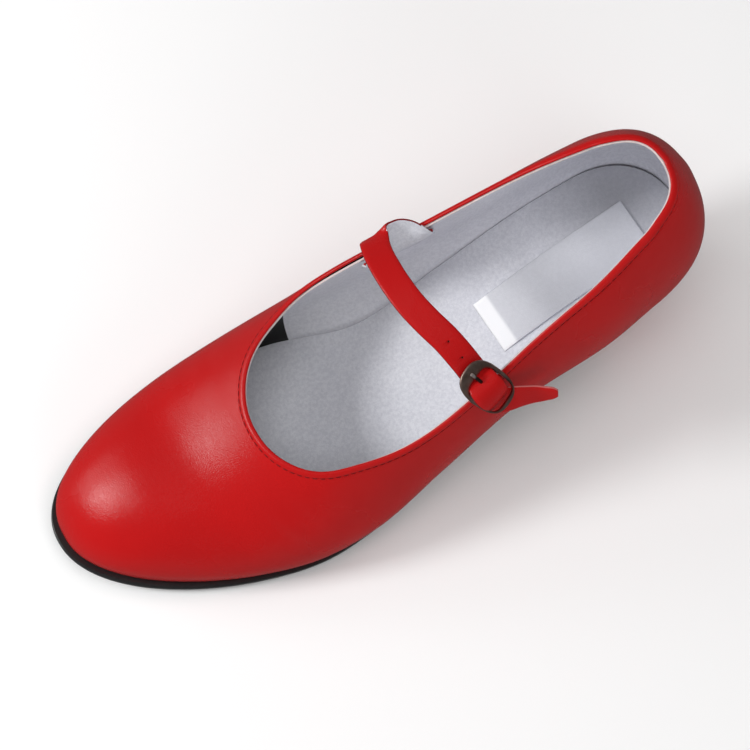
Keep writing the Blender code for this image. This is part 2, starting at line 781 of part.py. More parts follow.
def make_buckle_prong():
    radius = BAR_RADIUS + CLEARANCE + PRONG_RADIUS
    points = []
    for k in range(WRAP_STEPS + 1):
        angle = radians(PRONG_WRAP_START + PRONG_WRAP_TURN * k / WRAP_STEPS)
        points.append((0.0, radius * cos(angle), radius * sin(angle) - BAR_DEPTH))
    rest_height = BUCKLE_THICKNESS / 2 + CLEARANCE + PRONG_RADIUS
    points.append((0.0, PRONG_KNEE, rest_height))
    points.append((0.0, PRONG_REST, rest_height))
    curve = bpy.data.curves.new("buckle_prong", "CURVE")
    curve.dimensions = "3D"
    curve.bevel_depth = PRONG_RADIUS * MM
    curve.bevel_resolution = PRONG_ROUND_STEPS
    curve.use_fill_caps = True
    add_spline(curve, points, False)
    add_part("buckle_prong", curve, buckle_seat)


for old in list(bpy.data.objects):
    bpy.data.objects.remove(old)

shoe = bpy.data.collections.new("flamenco_shoe")
cutters = bpy.data.collections.new("cutters")
bpy.context.scene.collection.children.link(shoe)
bpy.context.scene.collection.children.link(cutters)
buckle_seat = bpy.data.objects.new("buckle_seat", None)
buckle_seat.location = placed(BUCKLE_STATION, BUCKLE_SIDE, BUCKLE_HEIGHT)
buckle_turn = strap_turn() @ Matrix.Rotation(radians(BUCKLE_SWING), 3, "Z")
buckle_seat.rotation_euler = buckle_turn.to_euler()
cutters.objects.link(buckle_seat)
bpy.context.view_layer.update()

make_upper()
make_insole()
make_heel_sock()
make_outsole()
make_half_sole()
make_heel()
make_top_lift()
make_strap()
make_buckle_tab()
make_buckle_frame()
make_buckle_prong()
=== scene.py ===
# %% [markdown]
# # Dressing a left flamenco shoe
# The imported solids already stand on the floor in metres: toe towards -X, lateral side towards -Y.
# A maker would now close the leather over the last, so this script does the same: it loads the solids
# as a fixed frame, lays finer leather, lining, sole and metal pieces where they are, and lights them.

from collections import namedtuple
from math import asin, atan2, copysign, cos, degrees, exp, hypot, pi, radians, sin

import bmesh
import bpy
from mathutils import Euler, Matrix, Vector


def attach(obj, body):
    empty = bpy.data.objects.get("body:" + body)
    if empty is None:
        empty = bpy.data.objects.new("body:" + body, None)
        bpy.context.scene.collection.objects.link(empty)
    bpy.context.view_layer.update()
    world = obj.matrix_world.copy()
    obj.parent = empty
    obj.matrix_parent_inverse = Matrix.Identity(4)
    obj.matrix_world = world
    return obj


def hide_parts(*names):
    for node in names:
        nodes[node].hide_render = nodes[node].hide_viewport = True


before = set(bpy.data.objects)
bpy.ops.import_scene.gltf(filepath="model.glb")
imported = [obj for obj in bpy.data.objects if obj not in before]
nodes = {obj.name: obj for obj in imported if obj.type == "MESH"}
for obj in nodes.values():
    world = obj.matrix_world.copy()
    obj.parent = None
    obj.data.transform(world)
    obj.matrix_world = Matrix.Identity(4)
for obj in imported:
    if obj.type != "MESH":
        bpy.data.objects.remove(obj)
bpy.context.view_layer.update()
MM = 0.001
print("solids:", sorted(nodes))

# %% [markdown]
# ## Camera
# The photograph looks steeply down on the shoe from its lateral side, with a small roll. The three angles
# and the distance come from fitting the last's outline to the picture. A matrix built from the view's own
# axes is easier to trust than chained rotations, because each column is a direction that can be printed.

# %% Camera
AZIMUTH = radians(-26.8)
ELEVATION = radians(76.4)
ROLL = radians(-3.45)
DISTANCE = 0.8764
AIM = Vector((-0.0004, -0.0003, 0.040))
LENS = 124.0

towards_camera = Vector((sin(AZIMUTH) * cos(ELEVATION), -cos(AZIMUTH) * cos(ELEVATION), sin(ELEVATION)))
level = Vector((cos(AZIMUTH), sin(AZIMUTH), 0.0))
steep = towards_camera.cross(level)
view_right = level * cos(ROLL) + steep * sin(ROLL)
view_up = steep * cos(ROLL) - level * sin(ROLL)
lens = bpy.data.cameras.new("photo_view")
lens.lens = LENS
camera = bpy.data.objects.new("photo_view", lens)
camera.matrix_world = Matrix.Translation(AIM + towards_camera * DISTANCE) @ Matrix(
    (view_right, view_up, towards_camera)
).transposed().to_4x4()
bpy.context.scene.collection.objects.link(camera)
bpy.context.scene.camera = camera
print("camera at", tuple(round(v, 3) for v in camera.matrix_world.translation))

# %% [markdown]
# ## The last
# A shoe is shaped on a last, so the pieces below all ask one function where the last's surface is.
# Its sections, in millimetres, are the ones that the solids were cut from: a station runs from the back of
# the heel to the toe, and each half rib climbs from the sole line over a belly to the collar or the ridge.

# %% Tables of the last
LENGTH = 238.6
VAMP_POINT = 165.6
HEEL_ROUND = 28.6
HEEL_ROUND_POWER = 2.25
TOE_ROUND = 85.0
TOE_ROUND_POWER = 2.15
TOE_PUFF = 45.0
TOE_PUFF_POWER = 2.3
TOE_SWING = 10.5
SWING_START = 132.0
BELLY_SHARE = 0.35
MID_STATION = 119.63
MID_SIDE = 0.3
BALL_STATION = 163.0

Section = namedtuple(
    "Section",
    "station lateral medial feather edge bulge_lateral bulge_medial belly ridge round_lateral round_medial",
)
SECTIONS = (
    Section(0.0, 26.1, 26.1, 47.2, 0.0, 2.6, 2.6, 14.0, 71.6, 1.75, 1.75),
    Section(19.0, 26.1, 26.1, 45.2, 0.0, 2.8, 2.8, 14.0, 71.6, 1.75, 1.75),
    Section(48.0, 27.4, 26.2, 41.2, 0.0, 5.9, 3.3, 14.0, 65.4, 2.18, 2.42),
    Section(82.0, 29.0, 24.8, 29.9, 0.2, 4.5, 7.5, 15.0, 68.1, 2.02, 2.55),
    Section(115.0, 33.6, 25.0, 14.5, 0.5, 4.6, 11.7, 17.0, 72.8, 1.82, 2.56),
    Section(144.0, 39.2, 36.0, 7.0, 1.2, 3.5, 5.9, 14.0, 59.4, 1.71, 1.97),
    Section(163.0, 40.3, 39.4, 5.0, 1.8, 2.5, 3.0, 11.0, 46.1, 2.1, 2.1),
    Section(187.0, 38.9, 40.2, 5.0, 2.0, 1.5, 1.8, 9.0, 33.8, 2.1, 2.1),
    Section(211.0, 36.8, 39.6, 6.2, 2.3, 0.8, 0.8, 7.0, 30.1, 2.15, 2.15),
    Section(240.0, 35.0, 36.0, 11.0, 2.3, 0.5, 0.5, 5.0, 24.1, 2.2, 2.2),
)
Topline = namedtuple("Topline", "station lateral medial")
TOPLINE = (
    Topline(0.0, 107.0, 107.0),
    Topline(24.0, 103.1, 103.1),
    Topline(60.0, 89.9, 86.7),
    Topline(96.0, 69.2, 70.1),
    Topline(125.0, 57.6, 56.7),
)
STATIONS = [row.station for row in SECTIONS]
COLUMNS = {name: [getattr(row, name) for row in SECTIONS] for name in Section._fields}


# %% Functions of the last
def smooth(places, values, at):
    """Cubic through the rows of a table, with slopes weighted by the row spacing."""
    gaps = [b - a for a, b in zip(places, places[1:])]
    steps = [(b - a) / gap for a, b, gap in zip(values, values[1:], gaps)]
    slopes = [steps[0]]
    for k in range(1, len(steps)):
        slopes.append((steps[k - 1] * gaps[k] + steps[k] * gaps[k - 1]) / (gaps[k - 1] + gaps[k]))
    slopes.append(steps[-1])
    k = 0
    while k < len(gaps) - 1 and at > places[k + 1]:
        k += 1
    t = (at - places[k]) / gaps[k]
    rise = (1 + 2 * t) * (1 - t) ** 2 * values[k] + t * t * (3 - 2 * t) * values[k + 1]
    bend = t * (1 - t) ** 2 * slopes[k] - t * t * (1 - t) * slopes[k + 1]
    return rise + gaps[k] * bend


def column(name, at):
    return smooth(STATIONS, COLUMNS[name], at)


def share(value, start, stop):
    return min(max((value - start) / (stop - start), 0.0), 1.0)


def mix(start, stop, amount):
    return start + (stop - start) * amount


def ease(amount):
    return amount * amount * (3 - 2 * amount)


def rounding(amount, power):
    """Superellipse fall from 1 to 0 over a rounded end."""
    return max(1.0 - amount ** power, 0.0) ** (1.0 / power)


def placed(station, side, height):
    return Vector((MID_STATION - station, side - MID_SIDE, height)) * MM


def sign(side):
    return -1.0 if side == "lateral" else 1.0


def end_rounding(station):
    toe = rounding(share(station, LENGTH - TOE_ROUND, LENGTH), TOE_ROUND_POWER)
    heel = rounding(share(station, HEEL_ROUND, 0.0), HEEL_ROUND_POWER)
    return toe * heel


def centre_line(station):
    return TOE_SWING * share(station, SWING_START, LENGTH) ** 2


def half_width(side, station):
    return column(side, station) * end_rounding(station)


def ridge(station):
    puff = share(station, LENGTH - TOE_PUFF, LENGTH)
    return column("ridge", station) * rounding(puff, TOE_PUFF_POWER)


def belly_height(station):
    return min(column("belly", station), BELLY_SHARE * ridge(station))


def collar_height(side, station):
    places = [row.station for row in TOPLINE] + [VAMP_POINT]
    vamp = column("feather", VAMP_POINT) + ridge(VAMP_POINT)
    return smooth(places, [getattr(row, side) for row in TOPLINE] + [vamp], station)


def collar_angle(side, station):
    """Angle of the rib at the collar, a right angle on the ridge in front of the throat."""
    if station >= VAMP_POINT:
        return pi / 2
    belly = belly_height(station)
    rise = collar_height(side, station) - column("feather", station) - belly
    rise = max(rise / (ridge(station) - belly), 0.0)
    return asin(min(rise, 1.0) ** (column("round_" + side, station) / 2))


def last_point(side, station, climb, angle):
    """Point of the last: climb goes up the belly from 0 to 1, then angle up the side."""
    width = half_width(side, station)
    inward = Vector((max(HEEL_ROUND - station, 0.0), -sign(side) * width))
    reach = inward.length
    inward.normalize()
    bulge = column("bulge_" + side, station)
    belly = belly_height(station)
    inset = -bulge * climb * (2.0 - climb)
    lift = belly * climb
    if angle > 0.0:
        power = 2 / column("round_" + side, station)
        inset = -bulge + (reach + bulge) * (1.0 - max(cos(angle), 0.0) ** power)
        lift = belly + (ridge(station) - belly) * sin(angle) ** power
    foot = centre_line(station) + sign(side) * width
    return placed(station + inward.x * inset, foot + inward.y * inset, column("feather", station) + lift)


def wall_side(side, station, height):
    """How far out the upper's face lies at a height above its belly."""
    width = half_width(side, station) + column("bulge_" + side, station)
    belly = belly_height(station)
    rise = (height - column("feather", station) - belly) / (ridge(station) - belly)
    return centre_line(station) + sign(side) * width * rounding(rise, column("round_" + side, station))


ball_width = half_width("lateral", BALL_STATION) + half_width("medial", BALL_STATION)
print("last:", LENGTH, "mm long,", round(ball_width, 1), "mm at the ball")

# %% [markdown]
# ## Helpers for sheets and slabs
# Leather comes in sheets, and Blender's grid operator makes a sheet. Each vertex keeps its column and row
# in an integer layer, so a function of column and row can then carry it to its place on the last.
# Soles and heels are stacks: the sheet is extruded layer by layer, and each layer is carried as well.

# %% Sheet helpers
WELD = 2e-6
HALF_UNIT = 0.5


def carried_grid(bm, columns, rows, point):
    """A grid whose vertices are carried to point(column, row)."""
    at_column = bm.verts.layers.int.get("column") or bm.verts.layers.int.new("column")
    at_row = bm.verts.layers.int.get("row") or bm.verts.layers.int.new("row")
    verts = bmesh.ops.create_grid(bm, x_segments=columns, y_segments=rows, size=HALF_UNIT)["verts"]
    for vert in verts:
        vert[at_column] = round((vert.co.x + HALF_UNIT) * columns)
        vert[at_row] = round((vert.co.y + HALF_UNIT) * rows)
        vert.co = point(vert[at_column], vert[at_row])
    return verts


def closed(bm):
    """Weld the seams of a sheet or stack and face it outwards."""
    bmesh.ops.remove_doubles(bm, verts=bm.verts, dist=WELD)
    bmesh.ops.recalc_face_normals(bm, faces=bm.faces)
    return bm


def stacked(columns, rows, layers, point):
    """A solid: a grid is extruded once for each layer and carried to point(column, row, layer)."""
    bm = bmesh.new()
    verts = carried_grid(bm, columns, rows, lambda column, row: point(column, row, 0))
    at_column = bm.verts.layers.int["column"]
    at_row = bm.verts.layers.int["row"]
    faces = list(bm.faces)
    for layer in range(1, layers):
        covered = faces if layer > 1 else []
        grown = bmesh.ops.extrude_face_region(bm, geom=faces)["geom"]
        faces = [item for item in grown if isinstance(item, bmesh.types.BMFace)]
        verts = [item for item in grown if isinstance(item, bmesh.types.BMVert)]
        bmesh.ops.delete(bm, geom=covered, context="FACES_ONLY")
        for vert in verts:
            vert.co = point(vert[at_column], vert[at_row], layer)
    return closed(bm)


Layer = namedtuple("Layer", "inset depth")
ROUND_STEPS = 3


def rounded_layers(thickness, top, bottom):
    """Layers of a slab whose upper and lower edges have those radii."""
    turns = [pi / 2 * k / ROUND_STEPS for k in range(ROUND_STEPS + 1)]
    upper_edge = [Layer(top * (1 - sin(turn)), top * (1 - cos(turn))) for turn in turns]
    lower_edge = [Layer(bottom * (1 - sin(turn)), thickness - bottom * (1 - cos(turn))) for turn in turns]
    return upper_edge + lower_edge[::-1]


def add_piece(name, bm, materials, replaced=()):
    """Make a mesh a piece of the shoe: it rides on the root and stands for the solids it replaces."""
    mesh = bpy.data.meshes.new(name)
    bm.to_mesh(mesh)
    bm.free()
    mesh.shade_smooth()
    for material in materials:
        mesh.materials.append(material)
    piece = bpy.data.objects.new(name, mesh)
    bpy.context.scene.collection.objects.link(piece)
    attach(piece, "root")
    for node in replaced:
        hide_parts(node)
    print(name, len(mesh.polygons), "faces")
    return piece


def add_wall(piece, thickness):
    """Thickness grown inwards from the outer face."""
    wall = piece.modifiers.new("Wall", "SOLIDIFY")
    wall.thickness = thickness * MM
    wall.offset = -1.0


def add_smoothing(piece, levels):
    finer = piece.modifiers.new("Smoothing", "SUBSURF")
    finer.levels = levels
    finer.render_levels = levels


# %% [markdown]
# ## Finishes
# Colour alone never looks like leather: grain, pores and handling change how the light breaks. What several
# finishes share is a node group that puts out heights and masks, and each material mixes them its own way.

# %% Node helpers
def add_node(tree, kind, **values):
    """A node with its properties or plain number sockets set by name."""
    node = tree.nodes.new("ShaderNode" + kind)
    for name, value in values.items():
        if hasattr(node, name):
            setattr(node, name, value)
        else:
            node.inputs[name.replace("_", " ").title()].default_value = value
    return node


def new_material(name, colour, roughness, metallic=0.0):
    material = bpy.data.materials.new(name)
    material.use_nodes = True
    shader = material.node_tree.nodes["Principled BSDF"]
    shader.inputs["Base Color"].default_value = (*colour, 1.0)
    shader.inputs["Roughness"].default_value = roughness
    shader.inputs["Metallic"].default_value = metallic
    return material, material.node_tree, shader


def place_in(tree, scale=(1.0, 1.0, 1.0)):
    """Object coordinates, stretched by a scale for each axis."""
    node = add_node(tree, "Mapping")
    node.inputs["Scale"].default_value = scale
    tree.links.new(add_node(tree, "TexCoord").outputs["Object"], node.inputs["Vector"])
    return node.outputs["Vector"]


def noise(tree, place, scale, detail=3.0):
    node = add_node(tree, "TexNoise", scale=scale, detail=detail)
    tree.links.new(place, node.inputs["Vector"])
    return node.outputs["Fac"]


def bumped(tree, shader, height, strength, distance):
    bump = add_node(tree, "Bump", strength=strength, distance=distance * MM)
    tree.links.new(height, bump.inputs["Height"])
    tree.links.new(bump.outputs["Normal"], shader.inputs["Normal"])


def ramp(tree, value, stops):
    """Colour ramp from (place, colour) stops."""
    node = add_node(tree, "ValToRGB")
    while len(node.color_ramp.elements) < len(stops):
        node.color_ramp.elements.new(0.5)
    for element, (place, colour) in zip(node.color_ramp.elements, stops):
        element.position = place
        element.color = (*colour, 1.0)
    tree.links.new(value, node.inputs["Fac"])
    return node.outputs["Color"]


def mapped(tree, value, low, high, new_low, new_high):
    node = add_node(tree, "MapRange")
    for name, number in zip(("From Min", "From Max", "To Min", "To Max"), (low, high, new_low, new_high)):
        node.inputs[name].default_value = number
    tree.links.new(value, node.inputs["Value"])
    return node.outputs["Result"]


def computed(tree, operation, first, second):
    node = add_node(tree, "Math", operation=operation)
    for socket, value in zip(node.inputs, (first, second)):
        if isinstance(value, (int, float)):
            socket.default_value = value
        else:
            tree.links.new(value, socket)
    return node.outputs["Value"]


# %% [markdown]
# Real grain is a skin of tiny domes with pores between them. A Voronoi texture gives the domes, a little
# noise bends its straight cell walls, and a slow cloud stands for handling. All leathers share this group,
# because a group built once and placed in each material keeps their grain alike.

# %% Leather grain group
WARP_SCALE = 400.0
WARP_REACH = 0.0012
DOME_WIDTH = 0.28
FINE_SHARE = 2.3
PORE_WIDTH = 0.08
CLOUD_LOW = 0.32
CLOUD_HIGH = 0.68


def make_grain_group():
    """Fine cells with pores between them, and a slow cloud of handling."""
    group = bpy.data.node_groups.new("leather_grain", "ShaderNodeTree")
    sockets = (
        ("Place", "INPUT", "NodeSocketVector"), ("Cells", "INPUT", "NodeSocketFloat"),
        ("Cloud", "INPUT", "NodeSocketFloat"), ("Height", "OUTPUT", "NodeSocketFloat"),
        ("Pores", "OUTPUT", "NodeSocketFloat"), ("Handling", "OUTPUT", "NodeSocketFloat"),
    )
    for name, way, kind in sockets:
        group.interface.new_socket(name, in_out=way, socket_type=kind)
    start = group.nodes.new("NodeGroupInput").outputs
    stop = group.nodes.new("NodeGroupOutput").inputs
    link = group.links.new
    warp = add_node(group, "TexNoise", scale=WARP_SCALE, detail=2.0)
    link(start["Place"], warp.inputs["Vector"])
    stretch = add_node(group, "VectorMath", operation="MULTIPLY_ADD")
    stretch.inputs[1].default_value = (WARP_REACH, WARP_REACH, WARP_REACH)
    link(warp.outputs["Color"], stretch.inputs[0])
    link(start["Place"], stretch.inputs[2])
    cells = add_node(group, "TexVoronoi", feature="DISTANCE_TO_EDGE")
    link(stretch.outputs["Vector"], cells.inputs["Vector"])
    link(start["Cells"], cells.inputs["Scale"])
    domes = mapped(group, cells.outputs["Distance"], 0.0, DOME_WIDTH, 0.0, 1.0)
    fine = add_node(group, "TexNoise", detail=3.0)
    link(start["Place"], fine.inputs["Vector"])
    link(computed(group, "MULTIPLY", start["Cells"], FINE_SHARE), fine.inputs["Scale"])
    link(computed(group, "ADD", domes, fine.outputs["Fac"]), stop["Height"])
    link(mapped(group, cells.outputs["Distance"], 0.0, PORE_WIDTH, 1.0, 0.0), stop["Pores"])
    cloud = add_node(group, "TexNoise", detail=4.0)
    link(start["Place"], cloud.inputs["Vector"])
    link(start["Cloud"], cloud.inputs["Scale"])
    link(mapped(group, cloud.outputs["Fac"], CLOUD_LOW, CLOUD_HIGH, 0.0, 1.0), stop["Handling"])
    return group


leather_grain = make_grain_group()


def use_grain(tree, cells, cloud):
    node = add_node(tree, "Group", node_tree=leather_grain)
    node.inputs["Cells"].default_value = cells
    node.inputs["Cloud"].default_value = cloud
    tree.links.new(place_in(tree), node.inputs["Place"])
    return node.outputs


# %% [markdown]
# The outside is smooth, full-grain calf in a clear red with a soft gloss. Its grain hardly shows as colour:
# it only breaks the highlight. So the colour ramp is narrow, and most of the grain goes into bump, together
# with hairline wrinkles that a stretched noise draws across the foot. Cut edges and thread are tints of it;
# the tail's cut edges get a paler tint, a painted highlight.

# %% Red leather
RED = (0.47, 0.0080, 0.0085)
RED_DEEP = (0.37, 0.0055, 0.0060)
RED_MIDDLE = tuple((light + deep) / 2 for light, deep in zip(RED, RED_DEEP))
RED_CELLS = 1500.0
RED_CLOUD = 24.0
RED_SHINE = 0.19
WRINKLE_STRETCH = (900.0, 160.0, 420.0)
WRINKLE_WEIGHT = 1.6
DULLED = 0.06
POLISHED = 0.04
RED_RELIEF = 0.35
GRAIN_DEPTH = 0.05


def make_red_leather(name, light, deep, roughness):
    """Smooth full grain: fine cells, short hairline wrinkles across the foot, a little handling."""
    material, tree, shader = new_material(name, light, roughness)
    grain = use_grain(tree, RED_CELLS, RED_CLOUD)
    wrinkles = noise(tree, place_in(tree, WRINKLE_STRETCH), 1.0, 4.0)
    tree.links.new(ramp(tree, grain["Handling"], ((0.0, deep), (1.0, light))), shader.inputs["Base Color"])
    worn = mapped(tree, grain["Handling"], 0.0, 1.0, roughness + DULLED, roughness - POLISHED)
    tree.links.new(worn, shader.inputs["Roughness"])
    shader.inputs["Specular IOR Level"].default_value = RED_SHINE
    height = computed(tree, "ADD", grain["Height"], computed(tree, "MULTIPLY", wrinkles, WRINKLE_WEIGHT))
    bumped(tree, shader, height, RED_RELIEF, GRAIN_DEPTH)
    return material


red_leather = make_red_leather("red_leather", RED, RED_MIDDLE, 0.27)
heel_leather = make_red_leather("heel_leather", RED, RED_DEEP, 0.40)
# A paler tint for the tail's cut edges: a painted highlight.
tail_edge_highlight = make_red_leather("tail_edge_highlight", (0.66, 0.22, 0.21), (0.56, 0.14, 0.14), 0.45)
dark_edge = make_red_leather("burnished_edge", (0.23, 0.006, 0.007), (0.15, 0.004, 0.005), 0.5)
red_thread = make_red_leather("red_thread", (0.17, 0.004, 0.005), (0.11, 0.003, 0.004), 0.6)


# %% [markdown]
# Lining, insole and patch are plain leathers in cool greys, and the sole is black. On these the pores and a
# fine speckle do show as tone, so the ramp is wider than the red one and a speckle share can be chosen.

# %% Lining, sock and sole leathers
LINING_LIGHT = (0.74, 0.745, 0.79)
LINING_DEEP = (0.56, 0.565, 0.62)
LINING_CELLS = 1300.0
PLAIN_CLOUD = 30.0
SPECK_SCALE = 850.0
SPECK_LOW = 0.35
SPECK_HIGH = 0.65
PORE_TONE = 0.35
PLAIN_RELIEF = 0.3


def make_plain_leather(name, light, deep, roughness, cells, speckle=0.5):
    """Grained leather whose pores and fine speckle show as tone."""
    material, tree, shader = new_material(name, light, roughness)
    grain = use_grain(tree, cells, PLAIN_CLOUD)
    spots = mapped(tree, noise(tree, place_in(tree), SPECK_SCALE), SPECK_LOW, SPECK_HIGH, 0.0, 1.0)
    tone = computed(tree, "ADD", computed(tree, "MULTIPLY", spots, speckle),
                    computed(tree, "MULTIPLY", grain["Handling"], 1.0 - speckle))
    tone = computed(tree, "SUBTRACT", tone, computed(tree, "MULTIPLY", grain["Pores"], PORE_TONE))
    tree.links.new(ramp(tree, tone, ((0.0, deep), (1.0, light))), shader.inputs["Base Color"])
    bumped(tree, shader, grain["Height"], PLAIN_RELIEF, GRAIN_DEPTH)
    return material


lining_leather = make_plain_leather("lining_leather", LINING_LIGHT, LINING_DEEP, 0.5, LINING_CELLS)
insole_leather = make_plain_leather("insole_leather", LINING_LIGHT, LINING_DEEP, 0.5, LINING_CELLS)
split_lining = make_plain_leather(
    "split_lining", (0.88, 0.885, 0.93), (0.70, 0.705, 0.76), 0.5, LINING_CELLS
)
# Near-black finish: the toe's black lining, and painted shade inside the strap's holes.
vamp_lining_and_hole_shade = make_plain_leather("vamp_lining_and_hole_shade", (0.020, 0.018, 0.018), (0.009, 0.008, 0.008), 0.75, 1000.0)
sock_leather = make_plain_leather(
    "sock_leather", (0.63, 0.635, 0.675), (0.54, 0.545, 0.585), 0.34, 1500.0, speckle=0.3
)
sole_leather = make_plain_leather("sole_leather", (0.020, 0.020, 0.021), (0.011, 0.011, 0.012), 0.30, 900.0)
raw_edge = make_plain_leather("raw_edge", (0.80, 0.72, 0.71), (0.62, 0.53, 0.52), 0.7, 1100.0)


# %% [markdown]
# Three marks lie on these leathers: the quarter lining ends where the black toe cloth begins, the heel
# patch's thinned front has a paler strip of painted highlight, and the seat is darkened by painted shade.
# Where a mark follows the piece, its mesh stores a distance as an attribute; the seat's painted shade
# is a distance from one spot.

# %% Marks on the leathers
TOE_CLOTH = (0.012, 0.011, 0.011)
TOE_CLOTH_BLUR = 0.1
# Painted highlight: a paler strip along the heel patch's thinned front.
SOCK_FRONT_HIGHLIGHT = (0.80, 0.80, 0.82)
SOCK_HIGHLIGHT_FULL = 4.4
SOCK_HIGHLIGHT_END = 5.4
# Painted shade: the insole is darkened grey around one spot on the heel seat.
SEAT_SHADE = (0.22, 0.22, 0.235)
SEAT_SHADE_AT = placed(20.0, 9.0, 50.0)
SEAT_SHADE_FULL = 4.0
SEAT_SHADE_END = 32.0
SEAT_SHADE_AMOUNT = 0.6


def blend_in(material, mask, colour):
    """Mix a colour over the material's own where the mask is 1."""
    tree = material.node_tree
    shader = tree.nodes["Principled BSDF"]
    blend = add_node(tree, "Mix", data_type="RGBA")
    colours = [socket for socket in blend.inputs if socket.type == "RGBA"]
    mixed = [socket for socket in blend.outputs if socket.type == "RGBA"][0]
    tree.links.new(mask, blend.inputs["Factor"])
    tree.links.new(shader.inputs["Base Color"].links[0].from_socket, colours[0])
    colours[1].default_value = (*colour, 1.0)
    tree.links.new(mixed, shader.inputs["Base Color"])


def past_mark(material, name, start, stop):
    """Mask from 0 to 1 between two values of a number stored on the mesh."""
    tree = material.node_tree
    mark = add_node(tree, "Attribute", attribute_name=name)
    return mapped(tree, mark.outputs["Fac"], start, stop, 0.0, 1.0)


def near_spot(material, spot, full, none, amount):
    """Mask around a spot of the shoe: an amount within one distance, nothing beyond another."""
    tree = material.node_tree
    away = add_node(tree, "VectorMath", operation="DISTANCE")
    away.inputs[1].default_value = spot
    tree.links.new(place_in(tree), away.inputs[0])
    return mapped(tree, away.outputs["Value"], full * MM, none * MM, amount, 0.0)


cloth_mask = past_mark(split_lining, "past_edge", -TOE_CLOTH_BLUR, TOE_CLOTH_BLUR)
blend_in(split_lining, cloth_mask, TOE_CLOTH)
# The heel patch's pale front strip is a painted highlight.
blend_in(sock_leather, past_mark(sock_leather, "to_front", SOCK_HIGHLIGHT_END, SOCK_HIGHLIGHT_FULL), SOCK_FRONT_HIGHLIGHT)
# Painted shade on the insole's heel seat.
blend_in(insole_leather, near_spot(insole_leather, SEAT_SHADE_AT, SEAT_SHADE_FULL, SEAT_SHADE_END, SEAT_SHADE_AMOUNT), SEAT_SHADE)


# %% [markdown]
# The forepart is fine black rubber and the lift is pressed from coarse crumb. One recipe serves both: the
# number of grains in a metre sets the crumb, and a pale dust keeps the black from looking like a hole.

# %% Rubber
DUST_SCALE = 60.0
DUST_LOW = 0.3
DUST_HIGH = 0.75
DUST_LIGHT = 2.2
DUST_DULL = 0.12
RUBBER_RELIEF = 0.5


def make_rubber(name, colour, roughness, crumb, distance):
    """Black rubber; crumb is the number of grains in a metre."""
    material, tree, shader = new_material(name, colour, roughness)
    cells = add_node(tree, "TexVoronoi", scale=crumb)
    tree.links.new(place_in(tree), cells.inputs["Vector"])
    dust = mapped(tree, noise(tree, place_in(tree), DUST_SCALE, 5.0), DUST_LOW, DUST_HIGH, 0.0, 1.0)
    pale = tuple(DUST_LIGHT * v for v in colour)
    tree.links.new(ramp(tree, dust, ((0.0, colour), (1.0, pale))), shader.inputs["Base Color"])
    dull = mapped(tree, dust, 0.0, 1.0, roughness, roughness + DUST_DULL)
    tree.links.new(dull, shader.inputs["Roughness"])
    height = computed(tree, "ADD", cells.outputs["Distance"], noise(tree, place_in(tree), 2.0 * crumb))
    bumped(tree, shader, height, RUBBER_RELIEF, distance)
    return material


sole_rubber = make_rubber("sole_rubber", (0.016, 0.016, 0.017), 0.55, 1800.0, 0.05)
lift_rubber = make_rubber("lift_rubber", (0.017, 0.017, 0.018), 0.75, 620.0, 0.6)


# %% [markdown]
# The buckle is plated in a dark bronze that has gone dull in patches. Metal has no colour but its
# reflections, so the tarnish changes both the colour and the roughness, and fine scratches bend the normal.

# %% Metal
TARNISH_SCALE = 260.0
TARNISH_LOW = 0.35
TARNISH_HIGH = 0.7
TARNISH_DULL = 0.2
SCRATCH_STRETCH = (3000.0, 260.0, 900.0)
SCRATCH_RELIEF = 0.15
SCRATCH_DEPTH = 0.03


def make_metal(name, bright, dark, roughness):
    """Plated metal: a thin cloud of tarnish, fine scratches, rougher where it is dull."""
    material, tree, shader = new_material(name, bright, roughness, 1.0)
    cloud = noise(tree, place_in(tree), TARNISH_SCALE, 5.0)
    tarnish = mapped(tree, cloud, TARNISH_LOW, TARNISH_HIGH, 0.0, 1.0)
    scratches = noise(tree, place_in(tree, SCRATCH_STRETCH), 1.0, 2.0)
    tree.links.new(ramp(tree, tarnish, ((0.0, bright), (1.0, dark))), shader.inputs["Base Color"])
    dull = mapped(tree, tarnish, 0.0, 1.0, roughness, roughness + TARNISH_DULL)
    tree.links.new(dull, shader.inputs["Roughness"])
    bumped(tree, shader, scratches, SCRATCH_RELIEF, SCRATCH_DEPTH)
    return material


buckle_metal = make_metal("buckle_metal", (0.42, 0.31, 0.265), (0.22, 0.16, 0.135), 0.36)
# The prong's finish is darker than the frame's: painted shade.
prong_metal = make_metal("prong_metal", (0.12, 0.10, 0.09), (0.06, 0.05, 0.045), 0.35)
print("finishes:", len(bpy.data.materials))

# %% [markdown]
# ## Upper
# The upper is one skin of leather pulled over the last. Two grids, one for each side, follow the ribs and
# are welded along the ridge and the back. Walking leaves soft troughs, and the quarter overlaps the vamp on
# the medial side: both are small shifts along the skin's own normal, placed on the last.

# %% Ribs
RIBS_BACK = 190
RIBS_FRONT = 100
ROWS_BELLY = 7
ROWS_SIDE = 38
GUIDE_ANGLE = 38.0
GUIDE_START = 120.0
GUIDE_STOP = 205.0
GUIDE_POWER = 4
SIDES = ("lateral", "medial")


def crowded(start, stop, amount):
    return mix(start, stop, (1.0 - cos(pi * amount)) / 2)


def rib_station(rib):
    if rib <= RIBS_BACK:
        return crowded(0.0, VAMP_POINT, rib / RIBS_BACK)
    return crowded(VAMP_POINT, LENGTH, (rib - RIBS_BACK) / RIBS_FRONT)


